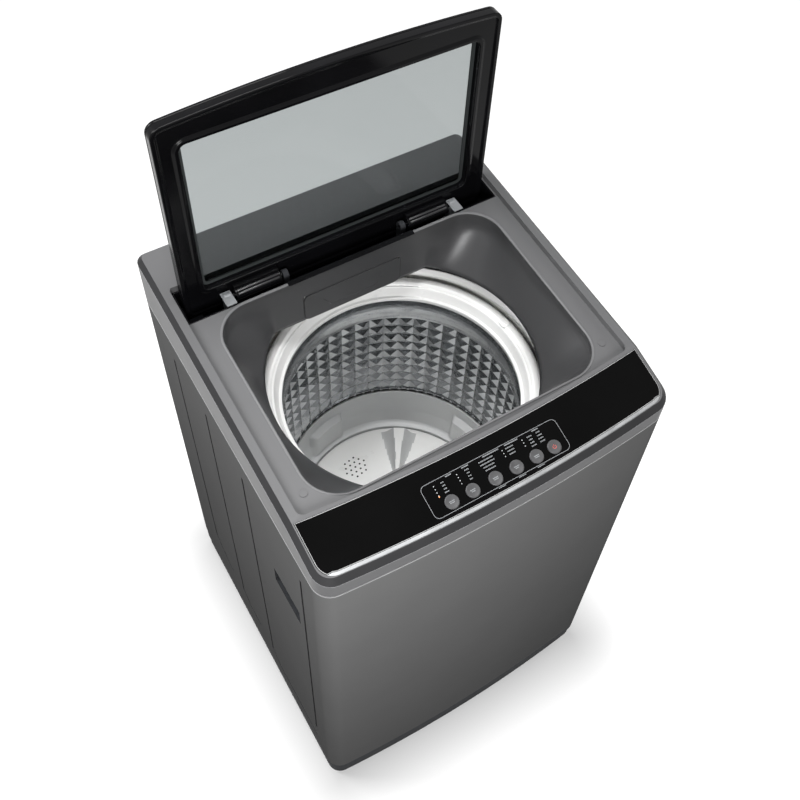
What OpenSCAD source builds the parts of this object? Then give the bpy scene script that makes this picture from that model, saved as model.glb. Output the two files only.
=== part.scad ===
// Top load washing machine: a sheet steel cabinet, a wedge shaped top cover with a glass lid,
// and a tub with its drum, pulsator and belt drive that hangs on four sprung rods.
// Millimetres. +Z up, the front faces -Y, the origin is on the floor under the middle.

/* [Cabinet] */
// Width of the cabinet
body_w = 520; // [500:1:624]
// Depth of the cabinet at its sides
body_d = 524; // [500:1:629]
// How far the middle of the front stands out past its sides
front_bow = 13; // [10:1:16]
// Height of the steel cabinet between the base and the top cover
cabinet_h = 728; // [700:1:874]
// Thickness of the cabinet's sheet steel
sheet_t = 1; // [0.8:0.1:1.5]
// Outside radius of the two front corners
front_r = 26; // [20:1:32]
// Outside radius of the two back corners
back_r = 15; // [10:1:20]
// Width of a pressed groove in the side walls
groove_w = 5; // [4:0.5:6]
// Depth of a pressed groove in the side walls
groove_d = 1.6; // [1:0.1:2]

/* [Carrying grips] */
// Length of a grip's opening in the side wall
grip_l = 74; // [62:1:89]
// Height of a grip's opening
grip_h = 38; // [32:1:46]
// Depth of a grip's cup
grip_depth = 24; // [18:1:28]

/* [Base and feet] */
// Height of the feet
foot_h = 12; // [10:0.5:15]
// Height of the plastic base frame
base_h = 32; // [27:1:38]
// Radius of a foot's pad
foot_r = 20; // [16:1:24]
// Radius of the screw of the adjustable foot
foot_stud_r = 5; // [4:0.5:6]

/* [Top cover] */
// Height of the cover's rim above the cabinet, at mid depth
cover_h = 71; // [68:1:85]
// Slope of the cover's rim, down to the front
rim_deg = 3.7; // [3:0.1:4.4]
// Slope of the control panel
panel_deg = 15.7; // [13:0.1:18]
// Depth of the seat that the lid closes into
seat_drop = 10; // [8:0.5:12]
// Wall thickness of the cover's mouldings
wall_t = 2.5; // [2:0.1:3]
// Width of the control panel from its back edge to the front trim, at its ends
panel_l = 69; // [64:1:72]

/* [Well] */
// Width of the well's mouth
well_w = 424; // [400:1:440]
// Length of the well's mouth, front to back
well_l = 303; // [290:1:320]
// Corner radius of the well's mouth
well_r = 50; // [40:1:60]
// Radius of the round opening at the foot of the well
neck_r = 188; // [180:1:192]

/* [Lid] */
// Width of the lid
lid_w = 466; // [450:1:476]
// Length of the lid in front of its hinge
lid_reach = 317; // [300:1:324]
// Length of the lid behind its hinge
lid_tail = 23; // [20:1:25]
// Thickness of the lid
lid_t = 16; // [14:1:18]
// Thickness of the lid's glass
glass_t = 4; // [3:0.5:5]
// Width of the lid frame's sides round the window
lid_side = 30; // [24:1:34]
// Radius of the hinge pins
pin_r = 3; // [2.5:0.1:3.5]
// Radius of the hinge barrels
barrel_r = 9.5; // [8:0.1:10]
// Length of a hinge barrel
barrel_l = 66; // [55:1:72]

/* [Control panel] */
// Radius of a button
button_r = 9.2; // [7.7:0.1:11]
// Travel of a button
button_travel = 1.2; // [0.8:0.1:1.5]
// Thickness of the black panel
fascia_t = 3.5; // [3:0.1:4.2]

/* [Detergent drawer] */
// Width of the drawer's front
drawer_w = 152; // [127:1:182]
// Height of the drawer's front
drawer_h = 50; // [42:1:52]
// Length of the drawer behind its front
drawer_l = 84; // [70:1:88]

/* [Drum and tub] */
// Inside radius of the drum
drum_r = 179; // [170:1:184]
// Height of the drum's steel wall
drum_h = 226; // [190:1:240]
// Inside radius of the tub
tub_r = 208; // [204:1:214]
// Depth of the tub
tub_h = 412; // [400:1:440]
// Wall thickness of the tub
tub_t = 3; // [2.5:0.1:4]
// Radius of the pulsator
pulsator_r = 157; // [150:1:158]
// Number of vanes on the pulsator
vanes = 4; // [3:1:6]

/* [Drive] */
// Radius of the wash shaft, which turns the pulsator
wash_shaft_r = 9; // [7.5:0.1:10]
// Outside radius of the hollow spin shaft, which turns the drum
spin_shaft_r = 15; // [13:0.1:17]
// Radius of the gearbox pulley
big_pulley_r = 70; // [58:1:80]
// Radius of the motor pulley
small_pulley_r = 35; // [29:1:42]
// Distance from the gearbox to the motor
drive_centres = 150; // [140:1:165]

/* [Suspension] */
// Radius of a suspension rod
rod_r = 3.5; // [3:0.1:4.2]
// Outside radius of a suspension spring
spring_r = 15; // [13:0.5:17]
// Height of a suspension spring under the tub's weight
spring_h = 76; // [64:1:90]

/* [Hidden] */
$fn = 64;

// Levels
base_top = foot_h + base_h;
seam_z = base_top + cabinet_h;
half_w = body_w / 2;
back_y = body_d / 2;
// Thread and running clearances
slip = 0.05;
play = 0.3;
over = 1;

// The front's bow is an arc through the two front corners
bow_r = (half_w * half_w + front_bow * front_bow) / (2 * front_bow);
bow_y = -back_y - front_bow + bow_r;
function arc_points(c, r, a0, a1, n) =
    [for (k = [0:n]) let (a = a0 + (a1 - a0) * k / n) [c[0] + r * cos(a), c[1] + r * sin(a)]];
// Outline of a plate with a bowed front edge and four rounded corners, from the back right corner
function bowed(hw, yb, cy, r, rf, rb) =
    let (fx = hw - rf, fy = cy - sqrt(pow(r - rf, 2) - fx * fx), t = asin(fx / (r - rf)))
    concat(arc_points([hw - rb, yb - rb], rb, 0, 90, 5),
        arc_points([rb - hw, yb - rb], rb, 90, 180, 5),
        arc_points([-fx, fy], rf, 180, 270 - t, 7),
        [for (k = [1:23]) let (a = 270 - t + 2 * t * k / 24) [r * cos(a), cy + r * sin(a)]],
        arc_points([fx, fy], rf, 270 + t, 360, 7));
// Outline of the cabinet, moved inwards by an inset
function cabinet_outline(inset) =
    bowed(half_w - inset, back_y - inset, bow_y, bow_r - inset,
        max(front_r - inset, 3), max(back_r - inset, 3));
function rounded(x0, x1, y0, y1, r) = concat(
    arc_points([x1 - r, y1 - r], r, 0, 90, 6), arc_points([x0 + r, y1 - r], r, 90, 180, 6),
    arc_points([x0 + r, y0 + r], r, 180, 270, 6), arc_points([x1 - r, y0 + r], r, 270, 360, 6));

// Extrudes a (y, z) outline across the whole width
module across(points, w = body_w + 20) {
    rotate([90, 0, 90]) translate([0, 0, -w / 2]) linear_extrude(w) polygon(points);
}
module plate(points, z0, z1) {
    translate([0, 0, z0]) linear_extrude(z1 - z0) polygon(points);
}
module box(lo, hi) {
    translate(lo) cube(hi - lo);
}
module tube(r_out, r_in, h) {
    difference() {
        cylinder(r = r_out, h = h);
        translate([0, 0, -over]) cylinder(r = r_in, h = h + 2 * over);
    }
}
module both_sides() {
    children();
    mirror([1, 0, 0]) children();
}

// Top surface of the cover: the rim slopes gently, then bends down into the control panel
panel_back = -back_y + 77;
bend_y = panel_back + 7;
function rim_z(y) = seam_z + cover_h + y * tan(rim_deg);
function panel_z(y) = rim_z(bend_y) + (y - bend_y) * tan(panel_deg);
front_y = -back_y - front_bow;
function top_line(drop) = [[back_y + over, rim_z(back_y + over) - drop], [bend_y, rim_z(bend_y) - drop],
    [front_y - over, panel_z(front_y - over) - drop]];
// Everything under the cover's top surface, and everything over it
below_z = seam_z - 40;
above_z = seam_z + 200;
function below_top(drop) = concat([[front_y - over, below_z], [back_y + over, below_z]], top_line(drop));
function above_top(drop) = concat(top_line(drop), [[front_y - over, above_z], [back_y + over, above_z]]);

drum_y = -back_y + 247;
well_front = -back_y + 85;
well_back = well_front + well_l;
neck_z = seam_z - 20;
chamfer_w = 7;
chamfer_h = 8;
deck_t = seat_drop + wall_t;

// Lid hinge and the trough that it sits in
hinge_y = well_back + 24;
hinge_z = seam_z + cover_h - 6;
lid_gap = 7;
trough_front = well_back + wall_t;
trough_back = hinge_y + 36;
trough_floor = hinge_z - 28;
trough_w = body_w - 40;

// Control panel
panel_mid = panel_back - 31;
button_x = [-73, -43, -10, 21, 51, 78];
button_y = panel_back - 60;
guide_r = button_r + 0.25;
board_x = 120;
board_y = [-42, 12];

// Drum, ring and pulsator levels
ring_top = seam_z - 56;
ring_in = drum_r - 10;
ring_out = tub_r - 8.5;
drum_top = seam_z - 112;
drum_foot = drum_top - drum_h;
tub_top = ring_top - 4;
tub_foot = tub_top - tub_h;
pulsator_z = drum_foot - 87;
basket_floor = pulsator_z - 10;

// Drive levels
bearing_r = spin_shaft_r + 11;
end_bearing_r = wash_shaft_r + 9;
plate_z = tub_foot - 17;
gearbox_h = 130;
gearbox_z = plate_z - gearbox_h;
gearbox_r = 64;
motor_r = 62;
motor_h = 108;
pulley_h = 16;
pulley_z = gearbox_z - 8 - pulley_h;
motor_y = drum_y + drive_centres;

// Suspension
rod_x = half_w - 36;
rod_y = back_y - 36;
rod_at = [for (sx = [-1, 1], sy = [-1, 1]) [sx * rod_x, sy * rod_y]];
bracket_z = seam_z - 32;
bracket_t = 3;
bracket_l = 80;
lug_z = tub_foot + 72;
lug_h = 40;
cap_z = lug_z - spring_h;
wire_r = 1.8;
spring_turns = 6;

// ---------------------------------------------------------------- cabinet

grip_y0 = -back_y + 70;
grip_z0 = seam_z - 215;
groove_top = seam_z - 44;
// Each groove: its place, the level where it turns, how far it slopes, and its run forward after that
grooves = [[-back_y + 54, base_top + 102, 0, 0], [-back_y + 216, base_top + 81, 25, 137],
    [-back_y + 328, base_top + 108, 25, 40], [-back_y + 432, base_top + 142, 40, 20]];
rear_cut = 51;

// One pressed groove: straight down, a slope forward, then level to the front; h is half its width
function groove_outline(g, h, e) =
    let (y = g[0], z = g[1], y2 = y - g[2], z2 = z - g[2], y3 = y2 - g[3] - e, m = h * tan(22.5))
    g[2] == 0
        ? [[y + h, groove_top + e], [y + h, z - e], [y - h, z - e], [y - h, groove_top + e]]
        : [[y + h, groove_top + e], [y + h, z - m], [y2 + m, z2 - h], [y3, z2 - h],
            [y3, z2 + h], [y2 - m, z2 + h], [y - h, z + m], [y - h, groove_top + e]];
module groove(g, h, e, x0, x1) {
    translate([x0, 0, 0]) rotate([90, 0, 90]) linear_extrude(x1 - x0) polygon(groove_outline(g, h, e));
}
// The cabinet's lower back corners are cut off at a slope, where the base frame rises behind them
module corner_cut(x0, x1) {
    translate([0, back_y, base_top + rear_cut]) rotate([45, 0, 0])
        box([x0, -2 * rear_cut, -rear_cut], [x1, rear_cut, 0]);
}
module grip_hole(w) {
    box([half_w - w, grip_y0, grip_z0], [half_w + w, grip_y0 + grip_l, grip_z0 + grip_h]);
}
module cabinet_wrap() {
    color([0.30, 0.31, 0.32]) difference() {
        union() {
            difference() {
                plate(cabinet_outline(0), base_top, seam_z);
                plate(cabinet_outline(sheet_t), base_top - over, seam_z - sheet_t);
                plate(cabinet_outline(14), base_top - over, seam_z + over);
            }
            both_sides() for (g = grooves)
                groove(g, groove_w / 2 + sheet_t, sheet_t,
                    half_w - sheet_t - groove_d, half_w - sheet_t / 2);
        }
        // open back between two flanges
        box([-flange_x, back_y - back_r - over, base_top - over], [flange_x, back_y + over, seam_z - 14]);
        both_sides() {
            for (g = grooves) groove(g, groove_w / 2, 0, half_w - groove_d, half_w + over);
            grip_hole(6);
        }
        corner_cut(-half_w - over, half_w + over);
        for (p = flange_screws) flange_hole(p, screw_r);
    }
}

// Screws that hold the back panel to the cabinet's flanges, and the service cover to the back panel
screw_r = 2;
flange_x = half_w - back_r - 15;
flange_screw_z = [seam_z - 60, seam_z - 320, seam_z - 580];
flange_screws = [for (sx = [-1, 1], z = flange_screw_z) [sx * (flange_x + 7), z]];
module flange_hole(p, r) {
    translate([p[0], back_y + over, p[1]]) rotate([90, 0, 0]) cylinder(r = r, h = 6);
}
service_w = 320;
service_lap = 20;
service_z0 = base_top + 14;
service_z1 = base_top + 296;
cover_screws = [for (sx = [-1, 1], z = [service_z0 + 10, service_z1 - 10]) [sx * (service_w / 2 - 8), z]];
inlet_at = [150, seam_z - 46];
cord_at = [-170, base_top + 330];
drain_at = [190, base_top + 92];
spigot_out = front_bow;

panel_y = back_y - sheet_t;
module back_panel() {
    color([0.62, 0.63, 0.64]) difference() {
        box([-flange_x - 14, panel_y - sheet_t, base_top], [flange_x + 14, panel_y, seam_z - sheet_t]);
        // service opening, with a margin that the service cover laps
        box([-service_w / 2 + service_lap, panel_y - 5, service_z0 + service_lap],
            [service_w / 2 - service_lap, panel_y + 5, service_z1 - service_lap]);
        for (p = flange_screws) flange_hole(p, screw_r);
        for (p = cover_screws) flange_hole(p, screw_r);
        translate([inlet_at[0], panel_y + 5, inlet_at[1]]) rotate([90, 0, 0]) cylinder(r = 16, h = 12);
        translate([cord_at[0], panel_y + 5, cord_at[1]]) rotate([90, 0, 0]) cylinder(r = 9, h = 12);
        translate([drain_at[0], panel_y + 5, drain_at[1]]) rotate([90, 0, 0]) cylinder(r = 15, h = 12);
        both_sides() corner_cut(service_w / 2 + 12, half_w);
        // vent louvres
        for (x = [-60:24:60]) box([x - 8, panel_y - 5, seam_z - 190], [x + 8, panel_y + 5, seam_z - 186]);
        for (x = [-60:24:60]) box([x - 8, panel_y - 5, seam_z - 176], [x + 8, panel_y + 5, seam_z - 172]);
    }
}
// Bulged steel cover over the belt drive; it stands out as far as the front bows
module service_cover() {
    color([0.58, 0.59, 0.60]) difference() {
        union() {
            box([-service_w / 2, panel_y, service_z0], [service_w / 2, panel_y + sheet_t, service_z1]);
            box([-service_w / 2 + 22, panel_y, service_z0 + 22],
                [service_w / 2 - 22, back_y + spigot_out, service_z1 - 22]);
        }
        box([-service_w / 2 + 23, panel_y - over, service_z0 + 23],
            [service_w / 2 - 23, back_y + spigot_out - sheet_t, service_z1 - 23]);
        for (p = cover_screws) flange_hole(p, screw_r);
    }
}
module case_screws() {
    color("silver") {
        for (p = flange_screws) translate([p[0], back_y, p[1]]) rotate([-90, 0, 0]) screw();
        for (p = cover_screws) translate([p[0], back_y, p[1]]) rotate([-90, 0, 0]) screw();
    }
}
module screw() {
    cylinder(r = 4.2, h = 2);
    translate([0, 0, -4]) cylinder(r = screw_r, h = 4 + over);
}

module grip_cup() {
    difference() {
        box([half_w - grip_depth - 2, grip_y0 - 6, grip_z0 - 6],
            [half_w - sheet_t, grip_y0 + grip_l + 6, grip_z0 + grip_h + 6]);
        box([half_w - grip_depth, grip_y0, grip_z0], [half_w, grip_y0 + grip_l, grip_z0 + grip_h]);
        // the cup's flange is thin, and only its pocket is deep
        difference() {
            box([half_w - grip_depth - 3, grip_y0 - 7, grip_z0 - 7],
                [half_w - sheet_t - 2, grip_y0 + grip_l + 7, grip_z0 + grip_h + 7]);
            box([half_w - grip_depth - 4, grip_y0 - 2, grip_z0 - 2],
                [half_w, grip_y0 + grip_l + 2, grip_z0 + grip_h + 2]);
        }
    }
}
module grip_cup_right() { color([0.12, 0.12, 0.13]) grip_cup(); }
module grip_cup_left() { color([0.12, 0.12, 0.13]) mirror([1, 0, 0]) grip_cup(); }

// ---------------------------------------------------------------- base and feet

foot_x = half_w - 45;
foot_yb = back_y - 62;
foot_yf = -back_y + 45;
foot_places = [[-foot_x, foot_yf], [-foot_x, foot_yb], [foot_x, foot_yb]];
level_foot = [foot_x, foot_yf];
base_in = 3;
tongue_h = 8;
module base_frame() {
    color([0.10, 0.10, 0.11]) difference() {
        union() {
            difference() {
                plate(cabinet_outline(base_in), foot_h, base_top);
                plate(cabinet_outline(base_in + 4), foot_h - over, base_top + over);
            }
            // inner ledge under the cabinet's edge
            difference() {
                plate(cabinet_outline(base_in), base_top - 5, base_top);
                plate(cabinet_outline(base_in + 28), base_top - 6, base_top + over);
            }
            // tongue inside the cabinet's lower edge, and the two raised back corners
            difference() {
                intersection() {
                    plate(cabinet_outline(sheet_t), base_top - over, base_top + rear_cut);
                    union() {
                        box([-half_w, front_y, base_top - 2 * over],
                            [half_w, back_y - back_r, base_top + tongue_h]);
                        both_sides() box([flange_x + 16, back_y - rear_cut, base_top - 2 * over],
                            [half_w, back_y, base_top + rear_cut]);
                    }
                }
                plate(cabinet_outline(sheet_t + 3), base_top - 2 * over, base_top + rear_cut + over);
            }
            for (p = concat(foot_places, [level_foot]))
                translate([p[0], p[1], foot_h]) cylinder(r = foot_r + 4, h = base_h);
        }
        for (p = foot_places) translate([p[0], p[1], foot_h - over]) cylinder(r = 8, h = 15 + over);
        translate([level_foot[0], level_foot[1], foot_h - over])
            cylinder(r = foot_stud_r + slip, h = base_h + 2 * over);
    }
}
module fixed_feet() {
    color([0.08, 0.08, 0.08]) for (p = foot_places) translate([p[0], p[1], 0]) {
        cylinder(r = foot_r, h = foot_h);
        cylinder(r = 8, h = foot_h + 14);
    }
}
nut_h = 6;
module adjustable_foot() {
    color([0.08, 0.08, 0.08]) translate([level_foot[0], level_foot[1], 0]) {
        cylinder(r = foot_r, h = foot_h - nut_h - 0.3);
        cylinder(r = foot_stud_r, h = base_top + 14);
    }
}
module foot_locknut() {
    color("silver") translate([level_foot[0], level_foot[1], foot_h - nut_h]) difference() {
        cylinder(r = 9.5, h = nut_h, $fn = 6);
        translate([0, 0, -over]) cylinder(r = foot_stud_r + slip, h = nut_h + 2 * over);
    }
}

// ---------------------------------------------------------------- fittings

spigot_r = 13.2;
module inlet_valve() {
    color([0.88, 0.88, 0.86]) translate([inlet_at[0], 0, inlet_at[1]]) difference() {
        union() {
            box([-20, panel_y - 56, -22], [20, panel_y - sheet_t, 22]);
            box([-12, panel_y - 50, 22], [12, panel_y - 22, 44]);
            translate([0, panel_y - 2, 0]) rotate([-90, 0, 0])
                cylinder(r = spigot_r, h = back_y + spigot_out - panel_y + 2);
        }
        translate([0, panel_y - 30, 0]) rotate([-90, 0, 0]) cylinder(r = 8, h = 60);
    }
}
drain_r = 11;
module drain_outlet() {
    color([0.30, 0.31, 0.32]) translate([drain_at[0], 0, drain_at[1]]) rotate([-90, 0, 0]) difference() {
        union() {
            translate([0, 0, panel_y - 34]) cylinder(r = drain_r, h = back_y + spigot_out - panel_y + 34);
            translate([0, 0, panel_y - sheet_t - 3]) cylinder(r = 19, h = 3);
        }
        translate([0, 0, panel_y - 40]) cylinder(r = drain_r - 2.5, h = 80);
    }
}
cord_r = 4;
module cord_gland() {
    color([0.08, 0.08, 0.08]) translate([cord_at[0], 0, cord_at[1]]) rotate([-90, 0, 0]) difference() {
        union() {
            translate([0, 0, panel_y - sheet_t - 8]) cylinder(r = 9, h = 12);
            translate([0, 0, panel_y]) cylinder(r = 13, h = 3);
            translate([0, 0, panel_y + 3]) cylinder(r1 = 10, r2 = 7, h = 8);
        }
        translate([0, 0, panel_y - 12]) cylinder(r = cord_r, h = 30);
    }
}
// Water level sensor, hung under the cover beside the well
module pressure_sensor() {
    x = -(well_w / 2 + half_w) / 2;
    y = drum_y + 55;
    z = rim_z(y) - deck_t / cos(rim_deg);
    color([0.90, 0.90, 0.88]) translate([x, y, z]) rotate([rim_deg, 0, 0]) {
        translate([0, 0, -16]) cylinder(r = 16, h = 16);
        translate([0, 0, -28]) cylinder(r = 4, h = 12);
    }
}
// Motor's run capacitor, in a clip on the right side wall
module run_capacitor() {
    color([0.75, 0.76, 0.78]) translate([half_w - sheet_t - 23, drum_y + 135, base_top + 110]) {
        cylinder(r = 21, h = 80);
        translate([-22.5, -23, 25]) cube([45.5, 46, 14]);
    }
}

// ---------------------------------------------------------------- top cover

// The lid's seat: a bowed front edge behind the panel, straight sides, and the trough at the back
recess_w = body_w - 36;
recess_front = panel_back + 5;
back_bow = 10;
seat_r = (recess_w * recess_w / 4 + back_bow * back_bow) / (2 * back_bow);
function seat_outline() = bowed(recess_w / 2, trough_back, recess_front - back_bow + seat_r, seat_r, 9, 6);

// The panel's strip: its back edge bows forward like its front edge
fascia_w = body_w - 18;
fascia_front = panel_back - panel_l;
function fascia_outline(inset) =
    let (hw = fascia_w / 2 - inset, rf = 22 - inset, cy = fascia_front - front_bow + bow_r,
        r = bow_r - inset, fx = hw - rf, fy = cy - sqrt(pow(r - rf, 2) - fx * fx), t = asin(fx / (r - rf)))
    concat([for (k = [12:-1:-12]) let (x = k * hw / 12)
            [x, panel_back - back_bow - inset + seat_r - sqrt(seat_r * seat_r - x * x)]],
        arc_points([-fx, fy], rf, 180, 270 - t, 7),
        [for (k = [1:23]) let (a = 270 - t + 2 * t * k / 24) [r * cos(a), cy + r * sin(a)]],
        arc_points([fx, fy], rf, 270 + t, 360, 7));

function well_outline(grow) =
    rounded(-well_w / 2 - grow, well_w / 2 + grow, well_front - grow, well_back + grow, well_r);
// Space inside the well: a rounded rectangle at its mouth, and a circle cut flat at its foot
module well_space(grow) {
    hull() {
        plate(well_outline(grow), seam_z + 42, seam_z + 90);
        intersection() {
            translate([0, drum_y, neck_z - (grow > 0 ? 0 : over)])
                cylinder(r = neck_r + grow, h = over, $fn = 72);
            box([-body_w, well_front + 6 - grow, neck_z - 5], [body_w, well_back + grow, neck_z + 5]);
        }
    }
}

// Places the children on the panel: x across, y up the slope, z out of the panel
module on_panel() {
    translate([0, panel_mid, panel_z(panel_mid)]) rotate([panel_deg, 0, 0]) children();
}
module at_buttons() {
    for (x = button_x) translate([x, (button_y - panel_mid) / cos(panel_deg), 0]) children();
}

// Solid block under the cover's top surface: the cover is the hull of two, so its edge slants
module cover_block(inset, drop) {
    intersection() {
        plate(cabinet_outline(inset), seam_z, seam_z + 140);
        across(below_top(drop));
    }
}

module top_cover() {
    color([0.36, 0.37, 0.38]) difference() {
        hull() {
            cover_block(0, chamfer_h);
            cover_block(chamfer_w, 0);
        }
        // hollow underside
        intersection() {
            plate(cabinet_outline(3), seam_z - over, seam_z + 140);
            across(below_top(deck_t));
        }
        // seat for the lid
        intersection() {
            plate(seat_outline(), seam_z, seam_z + 140);
            across(above_top(seat_drop));
        }
        // ledge for the panel
        intersection() {
            plate(fascia_outline(-0.2), seam_z, seam_z + 140);
            across(above_top(fascia_t));
        }
        plate(well_outline(wall_t), seam_z + 20, seam_z + 140);
        box([-trough_w / 2, trough_front, seam_z + 20], [trough_w / 2, trough_back, seam_z + 140]);
        on_panel() at_buttons() translate([0, 0, -30]) cylinder(r = guide_r, h = 40);
    }
}

module well_funnel() {
    color([0.34, 0.35, 0.36]) difference() {
        intersection() {
            well_space(wall_t);
            across(below_top(seat_drop));
        }
        well_space(0);
        // opening for the drawer
        box([-drawer_w / 2 - 0.6, well_back - 10, neck_z - over],
            [drawer_w / 2 + 0.6, well_back + 10, neck_z + drawer_h + 1.6]);
    }
}

// Black liner of the hinge space, let into the cover behind the well
module hinge_trough() {
    color([0.05, 0.05, 0.06]) difference() {
        intersection() {
            box([-trough_w / 2, trough_front, trough_floor - wall_t], [trough_w / 2, trough_back, above_z]);
            across(below_top(seat_drop));
        }
        box([-trough_w / 2 + wall_t, trough_front + wall_t, trough_floor],
            [trough_w / 2 - wall_t, trough_back - wall_t, above_z + over]);
    }
}

lug_x = 88;
lug_t = 8;
barrel_x = lug_x + lug_t + 4;
lug_r = lid_gap - play;
pin_end = barrel_x + barrel_l + 16;
module hinge_lug(x0, x1) {
    translate([x0, hinge_y, hinge_z]) rotate([90, 0, 90]) difference() {
        linear_extrude(x1 - x0) {
            circle(r = lug_r);
            translate([-lug_r, trough_floor - hinge_z]) square([2 * lug_r, hinge_z - trough_floor]);
        }
        translate([0, 0, -over]) cylinder(r = pin_r, h = x1 - x0 + 2 * over);
    }
}
module hinge_lugs() {
    color([0.55, 0.56, 0.57]) both_sides() {
        hinge_lug(lug_x, lug_x + lug_t);
        hinge_lug(pin_end - 10, pin_end);
    }
}
module hinge_pins() {
    color("silver") both_sides() translate([lug_x, hinge_y, hinge_z]) rotate([0, 90, 0])
        cylinder(r = pin_r, h = pin_end - lug_x);
}
module lid_switch() {
    color([0.04, 0.04, 0.05]) box([-trough_w / 2 + wall_t + 4, trough_front + wall_t + 2, trough_floor],
        [-trough_w / 2 + wall_t + 24, trough_front + wall_t + 20, trough_floor + 15]);
}
module lid_bumpers() {
    y = bend_y + 26;
    color([0.08, 0.08, 0.08]) both_sides() translate([well_w / 2 + 10, y, rim_z(y) - seat_drop])
        rotate([rim_deg, 0, 0]) cylinder(r = 5, h = 1);
}

// ---------------------------------------------------------------- control panel

trim_w = 4;
trim_end = 3;
module fascia_strip() {
    intersection() {
        plate(fascia_outline(0), seam_z, seam_z + 140);
        across(above_top(fascia_t));
        across(below_top(0));
    }
}
// Space of the bright strip, along the panel's front edge between its corners
module trim_space() {
    difference() {
        plate(fascia_outline(-over), seam_z, seam_z + 140);
        plate(fascia_outline(trim_w), seam_z - over, seam_z + 141);
        box([-body_w, fascia_front + trim_end, seam_z - over], [body_w, back_y, seam_z + 141]);
    }
}
module control_fascia() {
    color([0.02, 0.02, 0.02]) difference() {
        fascia_strip();
        trim_space();
        on_panel() at_buttons() translate([0, 0, -10]) cylinder(r = guide_r, h = 20);
    }
}
module fascia_trim() {
    color([0.85, 0.86, 0.87]) intersection() {
        fascia_strip();
        trim_space();
    }
}

shelf_z = -deck_t * cos(panel_deg);
module board_case() {
    color([0.75, 0.76, 0.76]) on_panel() difference() {
        box([-board_x, board_y[0], shelf_z - 20], [board_x, board_y[1], shelf_z]);
        box([-board_x + 2, board_y[0] + 2, shelf_z - 18], [board_x - 2, board_y[1] - 2, shelf_z + over]);
    }
}
pcb_top = shelf_z - 9;
module control_board() {
    color([0.05, 0.30, 0.14]) on_panel() {
        box([-board_x + 2.3, board_y[0] + 2.3, pcb_top - 1.6], [board_x - 2.3, board_y[1] - 2.3, pcb_top]);
        // standoffs
        for (x = [-100, 100])
            box([x - 4, board_y[0] + 6, shelf_z - 18], [x + 4, board_y[1] - 6, pcb_top - 1.6]);
    }
}
switch_h = 4.3;
module tact_switches() {
    color([0.10, 0.10, 0.10]) on_panel() at_buttons() translate([0, 0, pcb_top]) {
        translate([-6, -6, 0]) cube([12, 12, switch_h - 1]);
        cylinder(r = 3, h = switch_h);
    }
}
cap_proud = 1.6;
module button(i) {
    color([0.45, 0.46, 0.47]) on_panel()
        translate([button_x[i], (button_y - panel_mid) / cos(panel_deg), 0]) {
            translate([0, 0, -4]) cylinder(r = button_r, h = 4 + cap_proud);
            translate([0, 0, pcb_top + switch_h + button_travel + play])
                cylinder(r = 4, h = -4 - pcb_top - switch_h - button_travel - play + over);
        }
}

// ---------------------------------------------------------------- detergent drawer

house_y = well_back + wall_t;
house_top = trough_floor - wall_t;
module dispenser_housing() {
    color([0.80, 0.81, 0.81]) difference() {
        union() {
            box([-drawer_w / 2 - 1, house_y, neck_z - 2],
                [drawer_w / 2 + 1, house_y + drawer_l + 8, house_top]);
            // flange behind the well's back wall
            box([-drawer_w / 2 - 9, house_y, neck_z - 2], [drawer_w / 2 + 9, house_y + wall_t, house_top]);
        }
        box([-drawer_w / 2 + 2, house_y - over, neck_z + 1],
            [drawer_w / 2 - 2, house_y + drawer_l + 5, house_top - 3]);
        // the space over the drawer takes in the water at its back
        translate([inlet_at[0] - 100, house_y + drawer_l + 9, neck_z + drawer_h / 2 + 8]) rotate([90, 0, 0])
            cylinder(r = 6, h = 6);
    }
}
module detergent_drawer() {
    color([0.36, 0.37, 0.38]) difference() {
        union() {
            // front
            translate([0, house_y - play, 0]) rotate([90, 0, 0]) linear_extrude(wall_t - play)
                polygon(concat([[-drawer_w / 2, neck_z], [drawer_w / 2, neck_z]],
                    arc_points([drawer_w / 2 - 8, neck_z + drawer_h - 8], 8, 0, 90, 5),
                    arc_points([8 - drawer_w / 2, neck_z + drawer_h - 8], 8, 90, 180, 5)));
            box([-drawer_w / 2 + 2.8, house_y - 2 * play, neck_z + 1.3],
                [drawer_w / 2 - 2.8, house_y + drawer_l, neck_z + drawer_h - 4]);
        }
        for (x = [-drawer_w / 2 + 4.8, 1]) box([x, house_y + 2, neck_z + 3.3],
            [x + drawer_w / 2 - 5.8, house_y + drawer_l - 2, neck_z + drawer_h]);
    }
}

// ---------------------------------------------------------------- lid, shown open

function lid_outline(inset) =
    let (r = (lid_w * lid_w / 4 + back_bow * back_bow) / (2 * back_bow))
    bowed(lid_w / 2 - inset, lid_tail - inset, -lid_reach + r, r - inset,
        max(15 - inset, 4), max(12 - inset, 4));
// Extrudes a lid outline towards the back; the outline's -y is the lid's free edge, which points up
module lid_plate(points, t0, t1) {
    translate([0, hinge_y + lid_gap + t0, hinge_z]) rotate([-90, 0, 0])
        linear_extrude(t1 - t0) polygon(points);
}
window_foot = 20;
window_top = lid_reach - 44;
module lid_frame() {
    color([0.03, 0.03, 0.03]) difference() {
        lid_plate(lid_outline(0), 0, lid_t - glass_t - 1);
        lid_plate(rounded(-lid_w / 2 + lid_side, lid_w / 2 - lid_side, -window_top, -window_foot, 10),
            -over, lid_t);
    }
}
module lid_glass() {
    color([0.25, 0.28, 0.29, 0.5]) lid_plate(lid_outline(4), lid_t - glass_t - 1, lid_t - 1);
}
module lid_rim() {
    color([0.10, 0.10, 0.11]) difference() {
        lid_plate(lid_outline(0), lid_t - glass_t - 1, lid_t);
        lid_plate(lid_outline(4), lid_t - glass_t - 2, lid_t + over);
    }
}
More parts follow.
